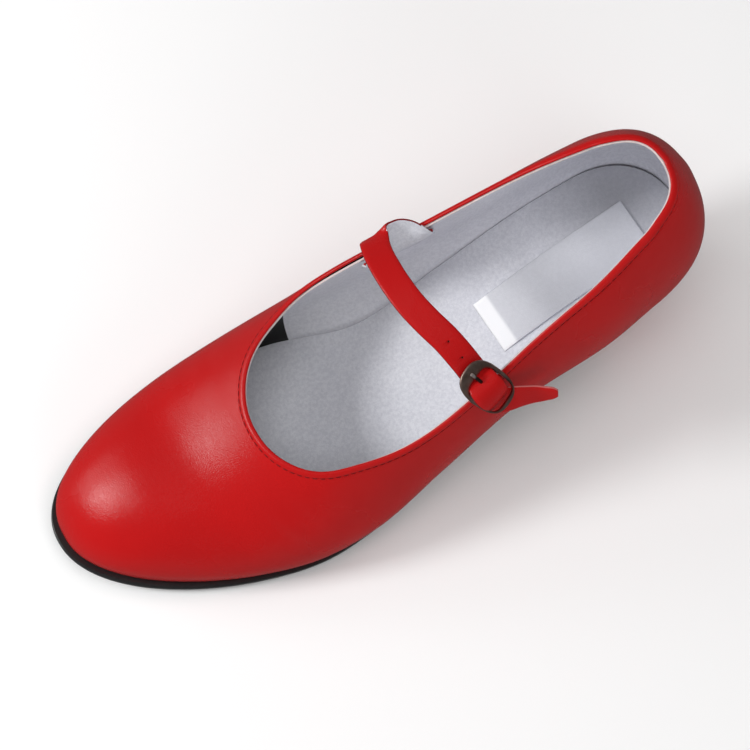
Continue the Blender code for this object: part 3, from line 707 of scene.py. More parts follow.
def row_angle(side, station, row, drop=0.0):
    """Angle of a row above the belly; drop lowers the collar."""
    if row <= ROWS_BELLY:
        return 0.0
    top = collar_angle(side, station)
    if station < VAMP_POINT:
        top -= drop
    climb = (row - ROWS_BELLY) / ROWS_SIDE
    guide = min(mix(radians(GUIDE_ANGLE), pi / 2, share(station, GUIDE_START, GUIDE_STOP)), top)
    return guide * climb + (top - guide) * climb ** GUIDE_POWER


def make_skin(drop):
    """Both sides of the last as one welded sheet, open below and at the throat."""
    bm = bmesh.new()
    at_side = bm.verts.layers.int.new("side")
    for k, side in enumerate(SIDES):
        def point(rib, row):
            station = rib_station(rib)
            angle = row_angle(side, station, row, drop)
            return last_point(side, station, min(row / ROWS_BELLY, 1.0), angle)

        for vert in carried_grid(bm, RIBS_BACK + RIBS_FRONT, ROWS_BELLY + ROWS_SIDE, point):
            vert[at_side] = k
    closed(bm)
    bm.normal_update()
    return bm


# %% [markdown]
# A crease is a trough between two points of the skin, with a low ridge beside it where the leather is pushed
# up. It could be sculpted; a short table of ends, widths and depths is easier to read and to change.

# %% Creases and the overlap of the quarter
SKIN_RADIUS = 40.0
Crease = namedtuple("Crease", "side station angle to_station to_angle width depth")
CREASES = (
    Crease("lateral", 172.0, 70.0, 158.0, 12.0, 2.6, 0.20),
    Crease("lateral", 180.0, 62.0, 168.0, 14.0, 2.4, 0.16),
    Crease("lateral", 162.0, 52.0, 148.0, 10.0, 2.8, 0.16),
    Crease("medial", 173.0, 74.0, 160.0, 16.0, 2.6, 0.12),
    Crease("medial", 181.0, 66.0, 170.0, 18.0, 2.4, 0.09),
    Crease("lateral", 90.0, 30.0, 72.0, 14.0, 4.0, 0.25),
)
CREASE_FADE_POWER = 0.8
RIDGE_SHARE = 0.45
RIDGE_AWAY = 2.0
OVERLAP_STEP = 0.45
OVERLAP_SOFT = 1.4
OVERLAP_POWER = 0.8
OVERLAP_FULL = 4.0
OVERLAP_END = 40.0
OVERLAP_TOP = 112.0
OVERLAP_FOOT = 66.0
OVERLAP_RISE = 60.0
BACK_RIDGE = 0.3
BACK_RIDGE_WIDTH = 3.0


def overlap_station(height):
    """Station of the medial seam at a height over the sole line."""
    return mix(OVERLAP_FOOT, OVERLAP_TOP, share(height, 0.0, OVERLAP_RISE) ** OVERLAP_POWER)


def crease_shift(side, station, angle):
    """Depth of the troughs, with a low ridge beside each one."""
    shift = 0.0
    for crease in CREASES:
        if crease.side != side:
            continue
        start = Vector((crease.station, SKIN_RADIUS * radians(crease.angle)))
        line = Vector((crease.to_station, SKIN_RADIUS * radians(crease.to_angle))) - start
        off = Vector((station, SKIN_RADIUS * angle)) - start
        along = off.dot(line) / line.length_squared
        if not 0.0 < along < 1.0:
            continue
        across = (off - line * along).length / crease.width
        fade = sin(pi * along) ** CREASE_FADE_POWER
        bank = RIDGE_SHARE * exp(-(across - RIDGE_AWAY) ** 2)
        shift += crease.depth * fade * (bank - exp(-across ** 2))
    return shift


def skin_shift(side, station, angle, spot):
    """Shift along the normal, in millimetres, of a point of the skin."""
    shift = crease_shift(side, station, angle)
    if side == "medial":
        rise = spot.z / MM - column("feather", station)
        ahead = station - overlap_station(rise)
        fade = ease(share(ahead, OVERLAP_END, OVERLAP_FULL))
        shift += OVERLAP_STEP * ease(share(ahead, 0.0, OVERLAP_SOFT)) * fade
    if spot.x > placed(HEEL_ROUND, 0.0, 0.0).x:
        shift += BACK_RIDGE * exp(-(spot.y / MM / BACK_RIDGE_WIDTH) ** 2)
    return shift


# %% Upper
LEATHER = 1.0

bm = make_skin(0.0)
at_side = bm.verts.layers.int["side"]
at_rib = bm.verts.layers.int["column"]
at_row = bm.verts.layers.int["row"]
for vert in bm.verts:
    side = SIDES[vert[at_side]]
    station = rib_station(vert[at_rib])
    angle = row_angle(side, station, vert[at_row])
    vert.co += vert.normal * skin_shift(side, station, angle, vert.co) * MM
upper = add_piece("upper_leather", bm, [red_leather, vamp_lining_and_hole_shade], ["upper"])
add_wall(upper, LEATHER)
upper.modifiers["Wall"].material_offset = 1

# %% [markdown]
# ## Lining
# The lining is a second, thinner skin just inside the first. Its grey quarters end at a cut edge before the
# ball, where the black cloth of the toe begins. Its top edge stays a little below the collar, so its pale
# cut shows as the thin light line that the photograph has inside the rim.

# %% Lining
LINING_DEPTH = 1.15
LINING_THICKNESS = 0.8
LINING_DROP = 0.010
QUARTER_LINING_TOP = 125.0
QUARTER_LINING_FOOT = 136.0
VAMP_CLEARANCE = 1.0
VAMP_REACH = 9.0

bm = make_skin(LINING_DROP)
past_edge = bm.verts.layers.float.new("past_edge")
at_rib = bm.verts.layers.int["column"]
at_row = bm.verts.layers.int["row"]
vamp_tip = last_point("lateral", VAMP_POINT, 1.0, pi / 2)
for vert in bm.verts:
    near_vamp = ease(share((vert.co - vamp_tip).length / MM, VAMP_REACH, 0.0))
    vert.co -= vert.normal * LINING_DEPTH * MM
    vert.co.x -= VAMP_CLEARANCE * near_vamp * MM
    climb = vert[at_row] / (ROWS_BELLY + ROWS_SIDE)
    vert[past_edge] = rib_station(vert[at_rib]) - mix(QUARTER_LINING_FOOT, QUARTER_LINING_TOP, climb)
lining = add_piece("upper_lining", bm, [split_lining, raw_edge], ["upper"])
add_wall(lining, LINING_THICKNESS)
lining.modifiers["Wall"].material_offset_rim = 1

# %% [markdown]
# ## Collar
# The top edge of the upper is folded over and stitched down. The fold is a strip that follows the rim: at
# each of its points the rim's tangent and the leather's normal make a little frame, and a profile drawn in
# that frame is carried round. It is wider and fuller at the heel, where the collar is rolled.

# %% Rim of the throat
RIM_SAMPLES = 260
RIM_STEP = 0.3
RIM_LEAN = 0.35
RIM_ANGLE_STEP = 0.01
NEAR_BACK = 3.0


def rim_frame(side, station):
    """Rim point, the leather's outward normal there, and the station."""
    angle = collar_angle(side, station)
    spot = last_point(side, station, 1.0, angle)
    ahead = last_point(side, min(station + RIM_STEP, LENGTH), 1.0, angle)
    behind = last_point(side, max(station - RIM_STEP, 0.0), 1.0, angle)
    lower = last_point(side, station, 1.0, angle - RIM_ANGLE_STEP)
    normal = (ahead - behind).cross(spot - lower).normalized()
    outwards = Vector((1.0, 0.0, 0.0)) if station < NEAR_BACK else Vector((0.0, sign(side), RIM_LEAN))
    if normal.dot(outwards) < 0.0:
        normal.negate()
    return spot + normal * skin_shift(side, station, angle, spot) * MM, normal, station


def rim_loop():
    """Rim frames from the heel along the lateral side to the vamp and back along the medial side."""
    half = [VAMP_POINT * sin(pi / 2 * k / RIM_SAMPLES) for k in range(RIM_SAMPLES + 1)]
    lateral = [rim_frame("lateral", station) for station in half]
    medial = [rim_frame("medial", station) for station in half[-2:0:-1]]
    return lateral + medial


def evenly(loop, count):
    """The closed loop again in even steps, each with spot, normal, downward direction and station."""
    spots = [row[0] for row in loop] + [loop[0][0]]
    lengths = [0.0]
    for a, b in zip(spots, spots[1:]):
        lengths.append(lengths[-1] + (b - a).length)
    even = []
    k = 0
    for step in range(count):
        at = lengths[-1] * step / count
        while lengths[k + 1] < at:
            k += 1
        t = (at - lengths[k]) / (lengths[k + 1] - lengths[k])
        a, b = loop[k], loop[(k + 1) % len(loop)]
        even.append((a[0].lerp(b[0], t), a[1].lerp(b[1], t).normalized(), mix(a[2], b[2], t)))
    frames = []
    for step, (spot, normal, station) in enumerate(even):
        tangent = (even[(step + 1) % count][0] - even[step - 1][0]).normalized()
        frames.append((spot, normal, normal.cross(tangent).normalized(), station))
    return frames, lengths[-1]


HEM_STEPS = 320
rim, rim_length = evenly(rim_loop(), HEM_STEPS)
print("rim:", round(rim_length / MM), "mm round; down at the heel", tuple(round(v, 2) for v in rim[0][2]))

# %% Collar fold
Hem = namedtuple("Hem", "down out")
HEM = (
    Hem(1.0, -0.12), Hem(0.99, 0.12), Hem(0.95, 0.17), Hem(0.90, 0.02), Hem(0.84, -0.05), Hem(0.78, 0.06),
    Hem(0.70, 0.27), Hem(0.48, 0.36), Hem(0.22, 0.30), Hem(0.05, 0.12), Hem(-0.10, -0.2), Hem(-0.15, -0.55),
    Hem(-0.10, -0.92), Hem(0.03, -1.12), Hem(0.14, -1.10), Hem(0.20, -0.7), Hem(0.8, -0.5),
)
HEM_WIDTH = 2.5
HEEL_HEM_WIDTH = 3.4
HEEL_PUFF = 2.0
HEEL_HEM_START = 70.0
HEEL_HEM_FULL = 25.0


def hem_size(station):
    """Width and fullness of the fold at a station."""
    heel_share = ease(share(station, HEEL_HEM_START, HEEL_HEM_FULL))
    return mix(HEM_WIDTH, HEEL_HEM_WIDTH, heel_share), mix(1.0, HEEL_PUFF, heel_share)


def hem_spot(step, down_share, out):
    spot, normal, down, station = rim[step % HEM_STEPS]
    width, puff = hem_size(station)
    return spot + (down * down_share * width + normal * (out * puff if out > 0.0 else out)) * MM


bm = bmesh.new()
carried_grid(bm, HEM_STEPS, len(HEM), lambda step, place: hem_spot(step, *HEM[place % len(HEM)]))
collar = add_piece("collar_fold", closed(bm), [red_leather], ["upper"])
add_smoothing(collar, 1)

# %% [markdown]
# One row of thread holds the fold down. A texture could draw it, but a real stitch stands proud and catches
# light, so each one is a small stretched ball laid in the fold's groove, evenly spaced along the rim.

# %% Stitches of the collar
STITCH_PITCH = 2.5
STITCH = Vector((1.9, 0.42, 0.34))
SEAM_SHARE = 0.84
STITCH_LIFT = 0.02


def add_stitch(bm, spot, along, outward):
    """One short thread, a stretched ball that lies along the seam."""
    across = outward.cross(along).normalized()
    turn = Matrix((along, across, along.cross(across))).transposed().to_4x4()
    place = Matrix.Translation(spot) @ turn @ Matrix.Diagonal((*(STITCH * MM), 1.0))
    bmesh.ops.create_icosphere(bm, subdivisions=2, radius=HALF_UNIT, matrix=place)


bm = bmesh.new()
stitch_count = round(rim_length / MM / STITCH_PITCH)
seam, seam_length = evenly([row[:2] + row[3:] for row in rim], stitch_count)
for spot, normal, down, station in seam:
    width, puff = hem_size(station)
    place = spot + (down * SEAM_SHARE * width + normal * STITCH_LIFT) * MM
    add_stitch(bm, place, down.cross(normal).normalized(), normal)
add_piece("collar_stitches", bm, [red_thread], ["upper"])
print("stitches:", stitch_count, "along", round(seam_length / MM), "mm")

# %% [markdown]
# ## Insole and sock
# Inside, a board covered with grey leather closes the shoe. Its edge follows the lining as it bulges, so
# only a fine dark line is left between them. A flat cut-out would leave a gap or cut into the wall, so each
# layer of the board finds its own edge.

# %% Insole
FEATHER_GAP = 0.3
INSOLE_ROWS = 110
INSOLE_COLUMNS = 28
INSOLE_INSET = 2.05
INSOLE_LIFT = 0.15
INSOLE_THICKNESS = 2.2
INSOLE_LAYERS = rounded_layers(INSOLE_THICKNESS, 0.5, 0.3)


def lined_edge(outline, lift, inset):
    """Reach to both sides, and shift at heel and toe, of a sheet that meets the lining at a lift."""
    belly = max(belly_height(outline), lift)
    climb = lift / belly
    gaps = []
    for side in SIDES:
        bulge = column("bulge_" + side, outline)
        slope = 2.0 * bulge * (1.0 - climb) / belly
        gaps.append(bulge * climb * (2.0 - climb) - inset * hypot(1.0, slope))
    reaches = [max(half_width(side, outline) + gap, 0.0) for side, gap in zip(SIDES, gaps)]
    return reaches, -min(gaps)


def insole_point(row, across, layer):
    outline = crowded(0.0, LENGTH, row / INSOLE_ROWS)
    inset, depth = INSOLE_LAYERS[layer]
    lift = INSOLE_LIFT + INSOLE_THICKNESS - depth
    (lateral, medial), end = lined_edge(outline, lift, INSOLE_INSET + inset)
    station = mix(end, LENGTH - end, outline / LENGTH)
    side = centre_line(outline) + mix(-lateral, medial, across / INSOLE_COLUMNS)
    return placed(station, side, column("feather", station) + lift)


add_piece(
    "insole_cover", stacked(INSOLE_ROWS, INSOLE_COLUMNS, len(INSOLE_LAYERS), insole_point),
    [insole_leather], ["insole"],
)

# %% [markdown]
# A narrow patch of paler, smoother leather is glued on the heel of the board and thinned at its front. It is
# a small solid of rounded layers; a decal would have no edge to catch the light.

# %% Heel sock
SOCK_ROWS = 60
SOCK_COLUMNS = 20
SOCK_STATION = 47.5
SOCK_SIDE = -2.6
SOCK_LENGTH = 60.0
SOCK_WIDTH = 19.8
SOCK_TURN = radians(3.0)
SOCK_LAYERS = rounded_layers(0.9, 0.35, 0.2)
SOCK_GAP = 0.1
SOCK_SKIVE = 0.6
SOCK_SKIVE_LENGTH = 5.0


def sock_point(row, across, layer):
    inset, depth = SOCK_LAYERS[layer]
    along = (2.0 * row / SOCK_ROWS - 1.0) * (SOCK_LENGTH / 2 - inset)
    aside = (2.0 * across / SOCK_COLUMNS - 1.0) * (SOCK_WIDTH / 2 - inset)
    station = SOCK_STATION + along * cos(SOCK_TURN) + aside * sin(SOCK_TURN)
    side = SOCK_SIDE + aside * cos(SOCK_TURN) - along * sin(SOCK_TURN)
    thickness = SOCK_LAYERS[-1].depth
    thinned = share(along, SOCK_LENGTH / 2 - SOCK_SKIVE_LENGTH, SOCK_LENGTH / 2)
    skive = SOCK_SKIVE * thinned * (1.0 - depth / thickness)
    base = INSOLE_LIFT + INSOLE_THICKNESS + SOCK_GAP + thickness
    return placed(station, side, column("feather", station) + base - depth - skive)


bm = stacked(SOCK_ROWS, SOCK_COLUMNS, len(SOCK_LAYERS), sock_point)
at_column = bm.verts.layers.int["column"]
# The distance from the front places the painted highlight on the patch's thinned front.
to_front = bm.verts.layers.float.new("to_front")
for vert in bm.verts:
    vert[to_front] = SOCK_LENGTH * (1.0 - vert[at_column] / SOCK_ROWS)
add_piece("sock_cover", bm, [sock_leather], ["heel_sock"])

# %% [markdown]
# ## Sole
# The sole is one strip of black leather: under the forepart, up through the waist and down the front of
# the heel. Its rows follow the last's lower edge, and a smooth curve takes the bend into the heel breast.
# A flat sole with a separate flap would be simpler, but the real leather bends there unbroken.

# %% Rows of the sole
OUTSOLE_FOREPART = 2.9
OUTSOLE_FLAP = 2.0
SOLE_TOE_REACH = 2.5
WAIST_END = 66.0
FLAP_END_LIFT = 1.0
HALF_SOLE_REAR = 123.0
SEAT_FRONT = 57.0
LIFT_HALF_WIDTH = 14.0
LIFT_ROUND_SHARE = 0.55
LIFT_ROUND_POWER = 2.0
FLAP_GAP = 0.1

HeelLevel = namedtuple("HeelLevel", "breast breast_height back back_height taper")
seat_front_height = column("feather", SEAT_FRONT) - FEATHER_GAP
seat_back_height = column("feather", 0.0) - FEATHER_GAP
HEEL_LEVELS = (
    HeelLevel(SEAT_FRONT, seat_front_height, 0.0, seat_back_height, 0.0),
    HeelLevel(52.5, 37.0, 0.4, 43.5, 0.10),
    HeelLevel(49.2, 34.4, 1.0, 39.5, 0.26),
    HeelLevel(47.0, 30.0, 1.8, 34.0, 0.44),
    HeelLevel(44.2, 22.5, 3.1, 25.0, 0.70),
    HeelLevel(41.2, 14.0, 4.3, 15.0, 0.89),
    HeelLevel(38.4, 6.0, 5.2, 6.0, 1.00),
)
SoleRow = namedtuple("SoleRow", "station height lateral medial thickness")


def heel_half_width(side, along, taper):
    """Half-width of the heel's plan at a share of its length: from the seat's outline to the lift's."""
    seat = half_width(side, along * SEAT_FRONT)
    lift = LIFT_HALF_WIDTH * rounding(1.0 - share(along, 0.0, LIFT_ROUND_SHARE), LIFT_ROUND_POWER)
    return mix(seat, lift, taper)


def sole_row(outline):
    """Row of the sole's top along the feather line; outline is the station on the last."""
    reach = SOLE_TOE_REACH * share(outline, BALL_STATION, LENGTH)
    edge = column("edge", outline) * end_rounding(outline)
    middle = centre_line(outline)
    return SoleRow(outline + reach, column("feather", outline) - FEATHER_GAP,
                   middle - half_width("lateral", outline) - edge,
                   middle + half_width("medial", outline) + edge, OUTSOLE_FOREPART)


def breast_row(level):
    """Row of the sole on the front of the heel at a level."""
    lateral = heel_half_width("lateral", 1.0, level.taper)
    medial = heel_half_width("medial", 1.0, level.taper)
    return SoleRow(level.breast + FLAP_GAP, level.breast_height, -lateral, medial, OUTSOLE_FLAP)


def resampled(rows, names, count):
    """Even rows on a smooth curve through a few; names are the fields that make up a row's place."""
    places = [0.0]
    for a, b in zip(rows, rows[1:]):
        gap = Vector([getattr(b, name) - getattr(a, name) for name in names])
        places.append(places[-1] + gap.length)
    fields = list(zip(*rows))
    steps = [places[-1] * k / count for k in range(count + 1)]
    return [type(rows[0])(*(smooth(places, field, at) for field in fields)) for at in steps]


TOE_ROWS = 56
BALL_ROWS = 24
WAIST_ROWS = 100
WAIST_SPANS = 7
foot = HEEL_LEVELS[-1]
toe_rows = [sole_row(mix(BALL_STATION, LENGTH, cos(pi / 2 * k / TOE_ROWS))) for k in range(TOE_ROWS)]
ball_rows = [sole_row(mix(BALL_STATION, HALF_SOLE_REAR, k / BALL_ROWS)) for k in range(BALL_ROWS + 1)]
waist_knots = [sole_row(mix(HALF_SOLE_REAR, WAIST_END, k / WAIST_SPANS)) for k in range(WAIST_SPANS + 1)]
flap_knots = [breast_row(level) for level in HEEL_LEVELS[:-1]]
flap_end = breast_row(foot)._replace(height=foot.breast_height + FLAP_END_LIFT)
waist_rows = resampled(waist_knots + flap_knots + [flap_end], ("station", "height"), WAIST_ROWS)[1:]
sole_rows = toe_rows + ball_rows + waist_rows
FOREPART_END = len(toe_rows) + len(ball_rows) - 1
print("sole rows:", len(sole_rows))

# %% Outsole
SOLE_COLUMNS = 28
SOLE_HALF = 38.0
SOLE_LAYERS = rounded_layers(1.0, 0.12, 0.22)


def sole_point(row, across, depth, inset):
    """Point under a row of the sole, at a depth along the sole's own normal and inside its edge."""
    here = sole_rows[row]
    before = sole_rows[max(row - 1, 0)]
    after = sole_rows[min(row + 1, len(sole_rows) - 1)]
    run = Vector((after.station - before.station, after.height - before.height)).normalized()
    middle = (here.lateral + here.medial) / 2
    side = mix(here.lateral, here.medial, across)
    station = here.station - run.y * depth - inset * share(here.station, BALL_STATION, LENGTH)
    return station, middle + (side - middle) * (1.0 - inset / SOLE_HALF), here.height + run.x * depth


def outsole_point(row, across, layer):
    thickness = sole_rows[row].thickness
    inset, depth = SOLE_LAYERS[layer]
    station, side, height = sole_point(row, across / SOLE_COLUMNS, depth * thickness, inset * thickness)
    return placed(station, side, height)


add_piece(
    "sole_strip", stacked(len(sole_rows) - 1, SOLE_COLUMNS, len(SOLE_LAYERS), outsole_point),
    [sole_leather], ["outsole"],
)

# %% [markdown]
# A thin sheet of rubber is glued under the forepart for grip, thinned to a straight rear edge at the waist.
# It is made of the same rows as the leather over it, pushed down along their normals, so both stay parallel.

# %% Rubber forepart
HALF_SOLE_THICKNESS = 1.5
HALF_SOLE_INSET = 0.4
DOT_HEIGHT = 0.3
SKIVE_LENGTH = 3.5
SKIVE_LEFT = 0.55
RUBBER_TOP = OUTSOLE_FOREPART + FEATHER_GAP
RUBBER_LAYERS = rounded_layers(HALF_SOLE_THICKNESS - DOT_HEIGHT, 0.15, 0.3)


def skived(station, depth):
    """Depth thinned towards the straight rear edge."""
    return depth * mix(SKIVE_LEFT, 1.0, share(station, HALF_SOLE_REAR, HALF_SOLE_REAR + SKIVE_LENGTH))


def rubber_point(row, across, layer):
    inset, depth = RUBBER_LAYERS[layer]
    depth = skived(sole_rows[row].station, depth)
    under = RUBBER_TOP + depth
    station, side, height = sole_point(row, across / SOLE_COLUMNS, under, HALF_SOLE_INSET + inset)
    return placed(station, side, max(height, DOT_HEIGHT))


add_piece(
    "rubber_forepart", stacked(FOREPART_END, SOLE_COLUMNS, len(RUBBER_LAYERS), rubber_point),
    [sole_rubber], ["half_sole"],
)

# %% [markdown]
# The rubber is moulded with a fine field of studs on the diagonal. Bump would do from afar; real studs are
# kept because the sole's outline shows them. One lattice is inset, cut free and drawn down, all in one go.

# %% Dots of the tread
DOT_PITCH = 1.25
DOT_GAP = 0.22
DOT_TAPER = 0.6
DOT_EDGE = 2.2
TREAD_LENGTH = LENGTH - HALF_SOLE_REAR
TREAD_WIDTH = 90.0
TREAD_ROWS = 200
ROOT_TWO = 2 ** 0.5
TREAD_STEPS = round((TREAD_LENGTH + TREAD_WIDTH) / ROOT_TWO / DOT_PITCH)
tread_table = [sole_row(HALF_SOLE_REAR + k * TREAD_LENGTH / TREAD_ROWS) for k in range(TREAD_ROWS + 1)]


def tread_row(station):
    """Nearest of the sole's rows over the rubber."""
    return tread_table[round(TREAD_ROWS * share(station, HALF_SOLE_REAR, LENGTH))]


def tread_point(column, row):
    """Diagonal lattice under the rubber, later trimmed to its outline."""
    station = HALF_SOLE_REAR + (column + row) * DOT_PITCH / ROOT_TWO - TREAD_WIDTH / 2
    side = (column - row) * DOT_PITCH / ROOT_TWO
    base = tread_row(station).height - RUBBER_TOP - HALF_SOLE_THICKNESS + DOT_HEIGHT
    return placed(station, side, max(base, DOT_HEIGHT))


def off_tread(face):
    spot = face.calc_center_median() / MM
    station = MID_STATION - spot.x
    here = tread_row(station)
    side = spot.y + MID_SIDE
    inside = here.lateral + DOT_EDGE < side < here.medial - DOT_EDGE
    return not inside or not HALF_SOLE_REAR + SKIVE_LENGTH < station < LENGTH - DOT_EDGE


def make_dots():
    """Small four-sided studs: a lattice's faces are inset, cut free and drawn down to a taper."""
    bm = bmesh.new()
    carried_grid(bm, TREAD_STEPS, TREAD_STEPS, tread_point)
    bmesh.ops.delete(bm, geom=[face for face in bm.faces if off_tread(face)], context="FACES")
    studs = list(bm.faces)
    borders = bmesh.ops.inset_individual(bm, faces=studs, thickness=DOT_GAP * MM)["faces"]
    bmesh.ops.delete(bm, geom=borders, context="FACES")
    grown = bmesh.ops.extrude_face_region(bm, geom=list(bm.faces))["geom"]
    for face in [item for item in grown if isinstance(item, bmesh.types.BMFace)]:
        middle = face.calc_center_median()
        for vert in face.verts:
            vert.co = middle + (vert.co - middle) * DOT_TAPER - Vector((0.0, 0.0, DOT_HEIGHT * MM))
    bmesh.ops.recalc_face_normals(bm, faces=bm.faces)
    return bm


add_piece("tread_dots", make_dots(), [sole_rubber], ["half_sole"])

# %% [markdown]
# ## Heel
# A block is covered with the same red leather. A loft between two outlines would miss its curved waist, so
# its plan goes from the seat's outline to the lift's on a smooth curve through seven measured levels.

# %% Heel block
HEEL_ROWS = 48
HEEL_COLUMNS = 24
HEEL_STEPS = 44
SEAT_FADE = 0.22
level_places = list(range(len(HEEL_LEVELS)))
level_fields = list(zip(*HEEL_LEVELS))


def heel_point(row, across, layer):
    along = 1.0 - cos(pi / 2 * row / HEEL_ROWS)
    step = layer / HEEL_STEPS
    at = level_places[-1] * step
    level_here = HeelLevel(*(smooth(level_places, field, at) for field in level_fields))
    station = mix(level_here.back, level_here.breast, along)
    height = mix(level_here.back_height, level_here.breast_height, along)
    seat = HEEL_LEVELS[0]
    seat_line = mix(seat.back_height, seat.breast_height, along)
    sag = column("feather", along * SEAT_FRONT) - FEATHER_GAP - seat_line
    height += sag * (1.0 - ease(share(step, 0.0, SEAT_FADE)))
    lateral = heel_half_width("lateral", along, level_here.taper)
    medial = heel_half_width("medial", along, level_here.taper)
    return placed(station, mix(-lateral, medial, across / HEEL_COLUMNS), height)


add_piece(
    "heel_cover", stacked(HEEL_ROWS, HEEL_COLUMNS, HEEL_STEPS + 1, heel_point), [heel_leather],
    ["heel"],
)

# %% [markdown]
# A lift of crumbed rubber is fixed under the block and takes the stamping. It has the block's last outline,
# reaches under the sole's flap, and has softly rounded edges.

# %% Heel lift
LIFT_HEIGHT = 5.7
LIFT_FRONT_REACH = 2.6
LIFT_LAYERS = rounded_layers(LIFT_HEIGHT, 0.25, 0.5)


def lift_point(row, across, layer):
    along = 1.0 - cos(pi / 2 * row / HEEL_ROWS)
    inset, depth = LIFT_LAYERS[layer]
    width = heel_half_width("lateral", along, foot.taper) * (1.0 - inset / LIFT_HALF_WIDTH)
    station = mix(foot.back + inset, foot.breast + LIFT_FRONT_REACH - inset, along)
    return placed(station, mix(-width, width, across / HEEL_COLUMNS), LIFT_HEIGHT - depth)


add_piece(
    "heel_lift", stacked(HEEL_ROWS, HEEL_COLUMNS, len(LIFT_LAYERS), lift_point), [lift_rubber],
    ["top_lift"],
)

# %% [markdown]
# ## Strap and buckle
# The strap is a strip with a red face and a grey lining. Its centre line is a table of folds: each has a
# place, a width and the direction of that width. A rounded section is carried along a smooth curve through
# them, under the buckle's plate, over its bar and out to the swung tail.

# %% Folds of the strap
Ear = namedtuple("Ear", "station height width tilt lean")
MEDIAL_EAR = (
    Ear(94.0, 59.5, 27.0, 25.0, 0.0),
    Ear(94.0, 65.5, 27.0, 25.0, 0.0),
    Ear(94.4, 70.0, 24.5, 25.0, 0.0),
)
LATERAL_EAR = (
    Ear(89.6, 56.0, 24.0, 24.0, -0.5),
    Ear(91.4, 60.0, 21.0, 24.0, -0.4),
    Ear(93.3, 64.8, 14.5, 22.0, -0.2),
    Ear(94.5, 69.4, 9.6, 16.0, 0.3),
)
Fold = namedtuple("Fold", "station side height width yaw tilt")
TAB_NECK = Fold(95.0, -26.2, 73.2, 8.4, 20.0, 12.0)
STRAP_ARCH = (
    Fold(96.4, 30.0, 74.2, 19.5, 2.0, 24.0),
    Fold(98.8, 31.6, 76.8, 14.0, 5.0, 18.0),
    Fold(101.0, 31.8, 79.0, 10.8, 3.0, 9.0),
    Fold(102.2, 29.8, 81.5, 10.0, -10.0, 2.0),
    Fold(103.5, 25.4, 84.3, 9.8, -8.0, 0.0),
    Fold(104.2, 19.5, 86.8, 9.8, -2.0, 0.0),
    Fold(104.3, 12.0, 88.4, 9.8, 4.0, 0.0),
    Fold(103.6, 4.0, 88.9, 9.8, 10.0, 0.0),
    Fold(101.8, -4.0, 88.4, 9.8, 15.0, 0.0),
    Fold(99.5, -11.5, 86.8, 9.8, 16.0, 0.0),
)
Pass = namedtuple("Pass", "across along lift width swing twist")
STRAP_PASS = (
    Pass(0.0, 13.0, -2.7, 9.8, 0.0, 0.0),
    Pass(0.0, 8.5, -2.4, 9.8, 0.0, 0.0),
    Pass(0.0, 4.9, -2.3, 10.0, 0.0, 0.0),
    Pass(-0.4, 2.8, 0.9, 10.8, 0.0, 0.0),
    Pass(-0.8, 0.6, 2.2, 11.8, 0.0, 0.0),
    Pass(-0.6, -2.4, 2.2, 11.6, 0.0, 0.0),
    Pass(0.1, -5.0, 1.1, 10.2, 4.0, 0.0),
    Pass(0.8, -7.6, -2.0, 9.4, 14.0, 0.0),
    Pass(2.6, -9.8, -3.2, 9.3, 36.0, 8.0),
    Pass(7.4, -12.9, -2.9, 9.0, 55.0, 24.0),
    Pass(11.6, -15.4, -1.6, 8.0, 56.0, 32.0),
    Pass(14.4, -17.2, 0.2, 6.2, 54.0, 34.0),
    Pass(16.4, -18.5, 1.6, 4.4, 52.0, 34.0),
    Pass(17.1, -19.0, 2.1, 2.6, 52.0, 34.0),
)
WALL = 2.0
STRAP_EAR_GAP = 1.0
TAB_EAR_GAP = 0.25
STRAP_THICKNESS = 1.6
TAB_THICKNESS = 0.8
BUCKLE_AT = (94.9, -29.9, 78.0)
BUCKLE_LEAN = 38.0
BUCKLE_YAW = 14.0
BAR_RADIUS = 0.8
BUCKLE_SWING = 13.0
BAR_DEPTH = 2.2
strap_turn = Euler((radians(BUCKLE_LEAN), 0.0, radians(BUCKLE_YAW))).to_matrix()


def ear_folds(side, ears, thickness, gap):
    """Rows of an ear that lies a gap inside the quarter's wall, leaning out by its own measure."""
    depth = WALL + gap + thickness / 2
    folds = []
    for ear in ears:
        run = ear.width / 2 * cos(radians(ear.tilt))
        rise = ear.width / 2 * sin(radians(ear.tilt))
        ahead = wall_side(side, ear.station + run, ear.height - rise)
        behind = wall_side(side, ear.station - run, ear.height + rise)
        yaw = degrees(atan2(behind - ahead, 2 * run))
        middle = (ahead + behind) / 2 - sign(side) * (depth - ear.lean)
        folds.append(Fold(ear.station, middle, ear.height, ear.width, yaw, ear.tilt))
    return folds


def buckle_fold(step):
    """A fold from a step of a strip in the buckle's own plane."""
    spot = strap_turn @ Vector((step.across, step.along, step.lift))
    swing = radians(step.swing)
    twist = radians(step.twist)
    reach = strap_turn @ Vector((cos(swing) * cos(twist), sin(swing) * cos(twist), sin(twist)))
    station, side, height = BUCKLE_AT
    return Fold(station - spot.x, side + spot.y, height + spot.z, step.width,
                degrees(atan2(reach.y, reach.x)), degrees(asin(reach.z)))


# %% Strip section carried along its folds
SECTION_STEPS = 32
SECTION_POWER = 5.0
EDGE_POWER = 2.6
EDGE_RISE = 0.5
LINED_ABOVE = 2.5
FACE, BACK, EDGE, HOLE_SHADE, TAIL_HIGHLIGHT = range(5)


def rounded_spot(angle, across_power, rise_power):
    """Across and up, from -1 to 1, on a rounded outline; a higher power is squarer."""
    across = copysign(abs(cos(angle)) ** (2 / across_power), cos(angle))
    rise = copysign(abs(sin(angle)) ** (2 / rise_power), sin(angle))
    return across, rise


def section_spot(around):
    """Place on a strip's section."""
    return rounded_spot(2 * pi * around / SECTION_STEPS, SECTION_POWER, EDGE_POWER)


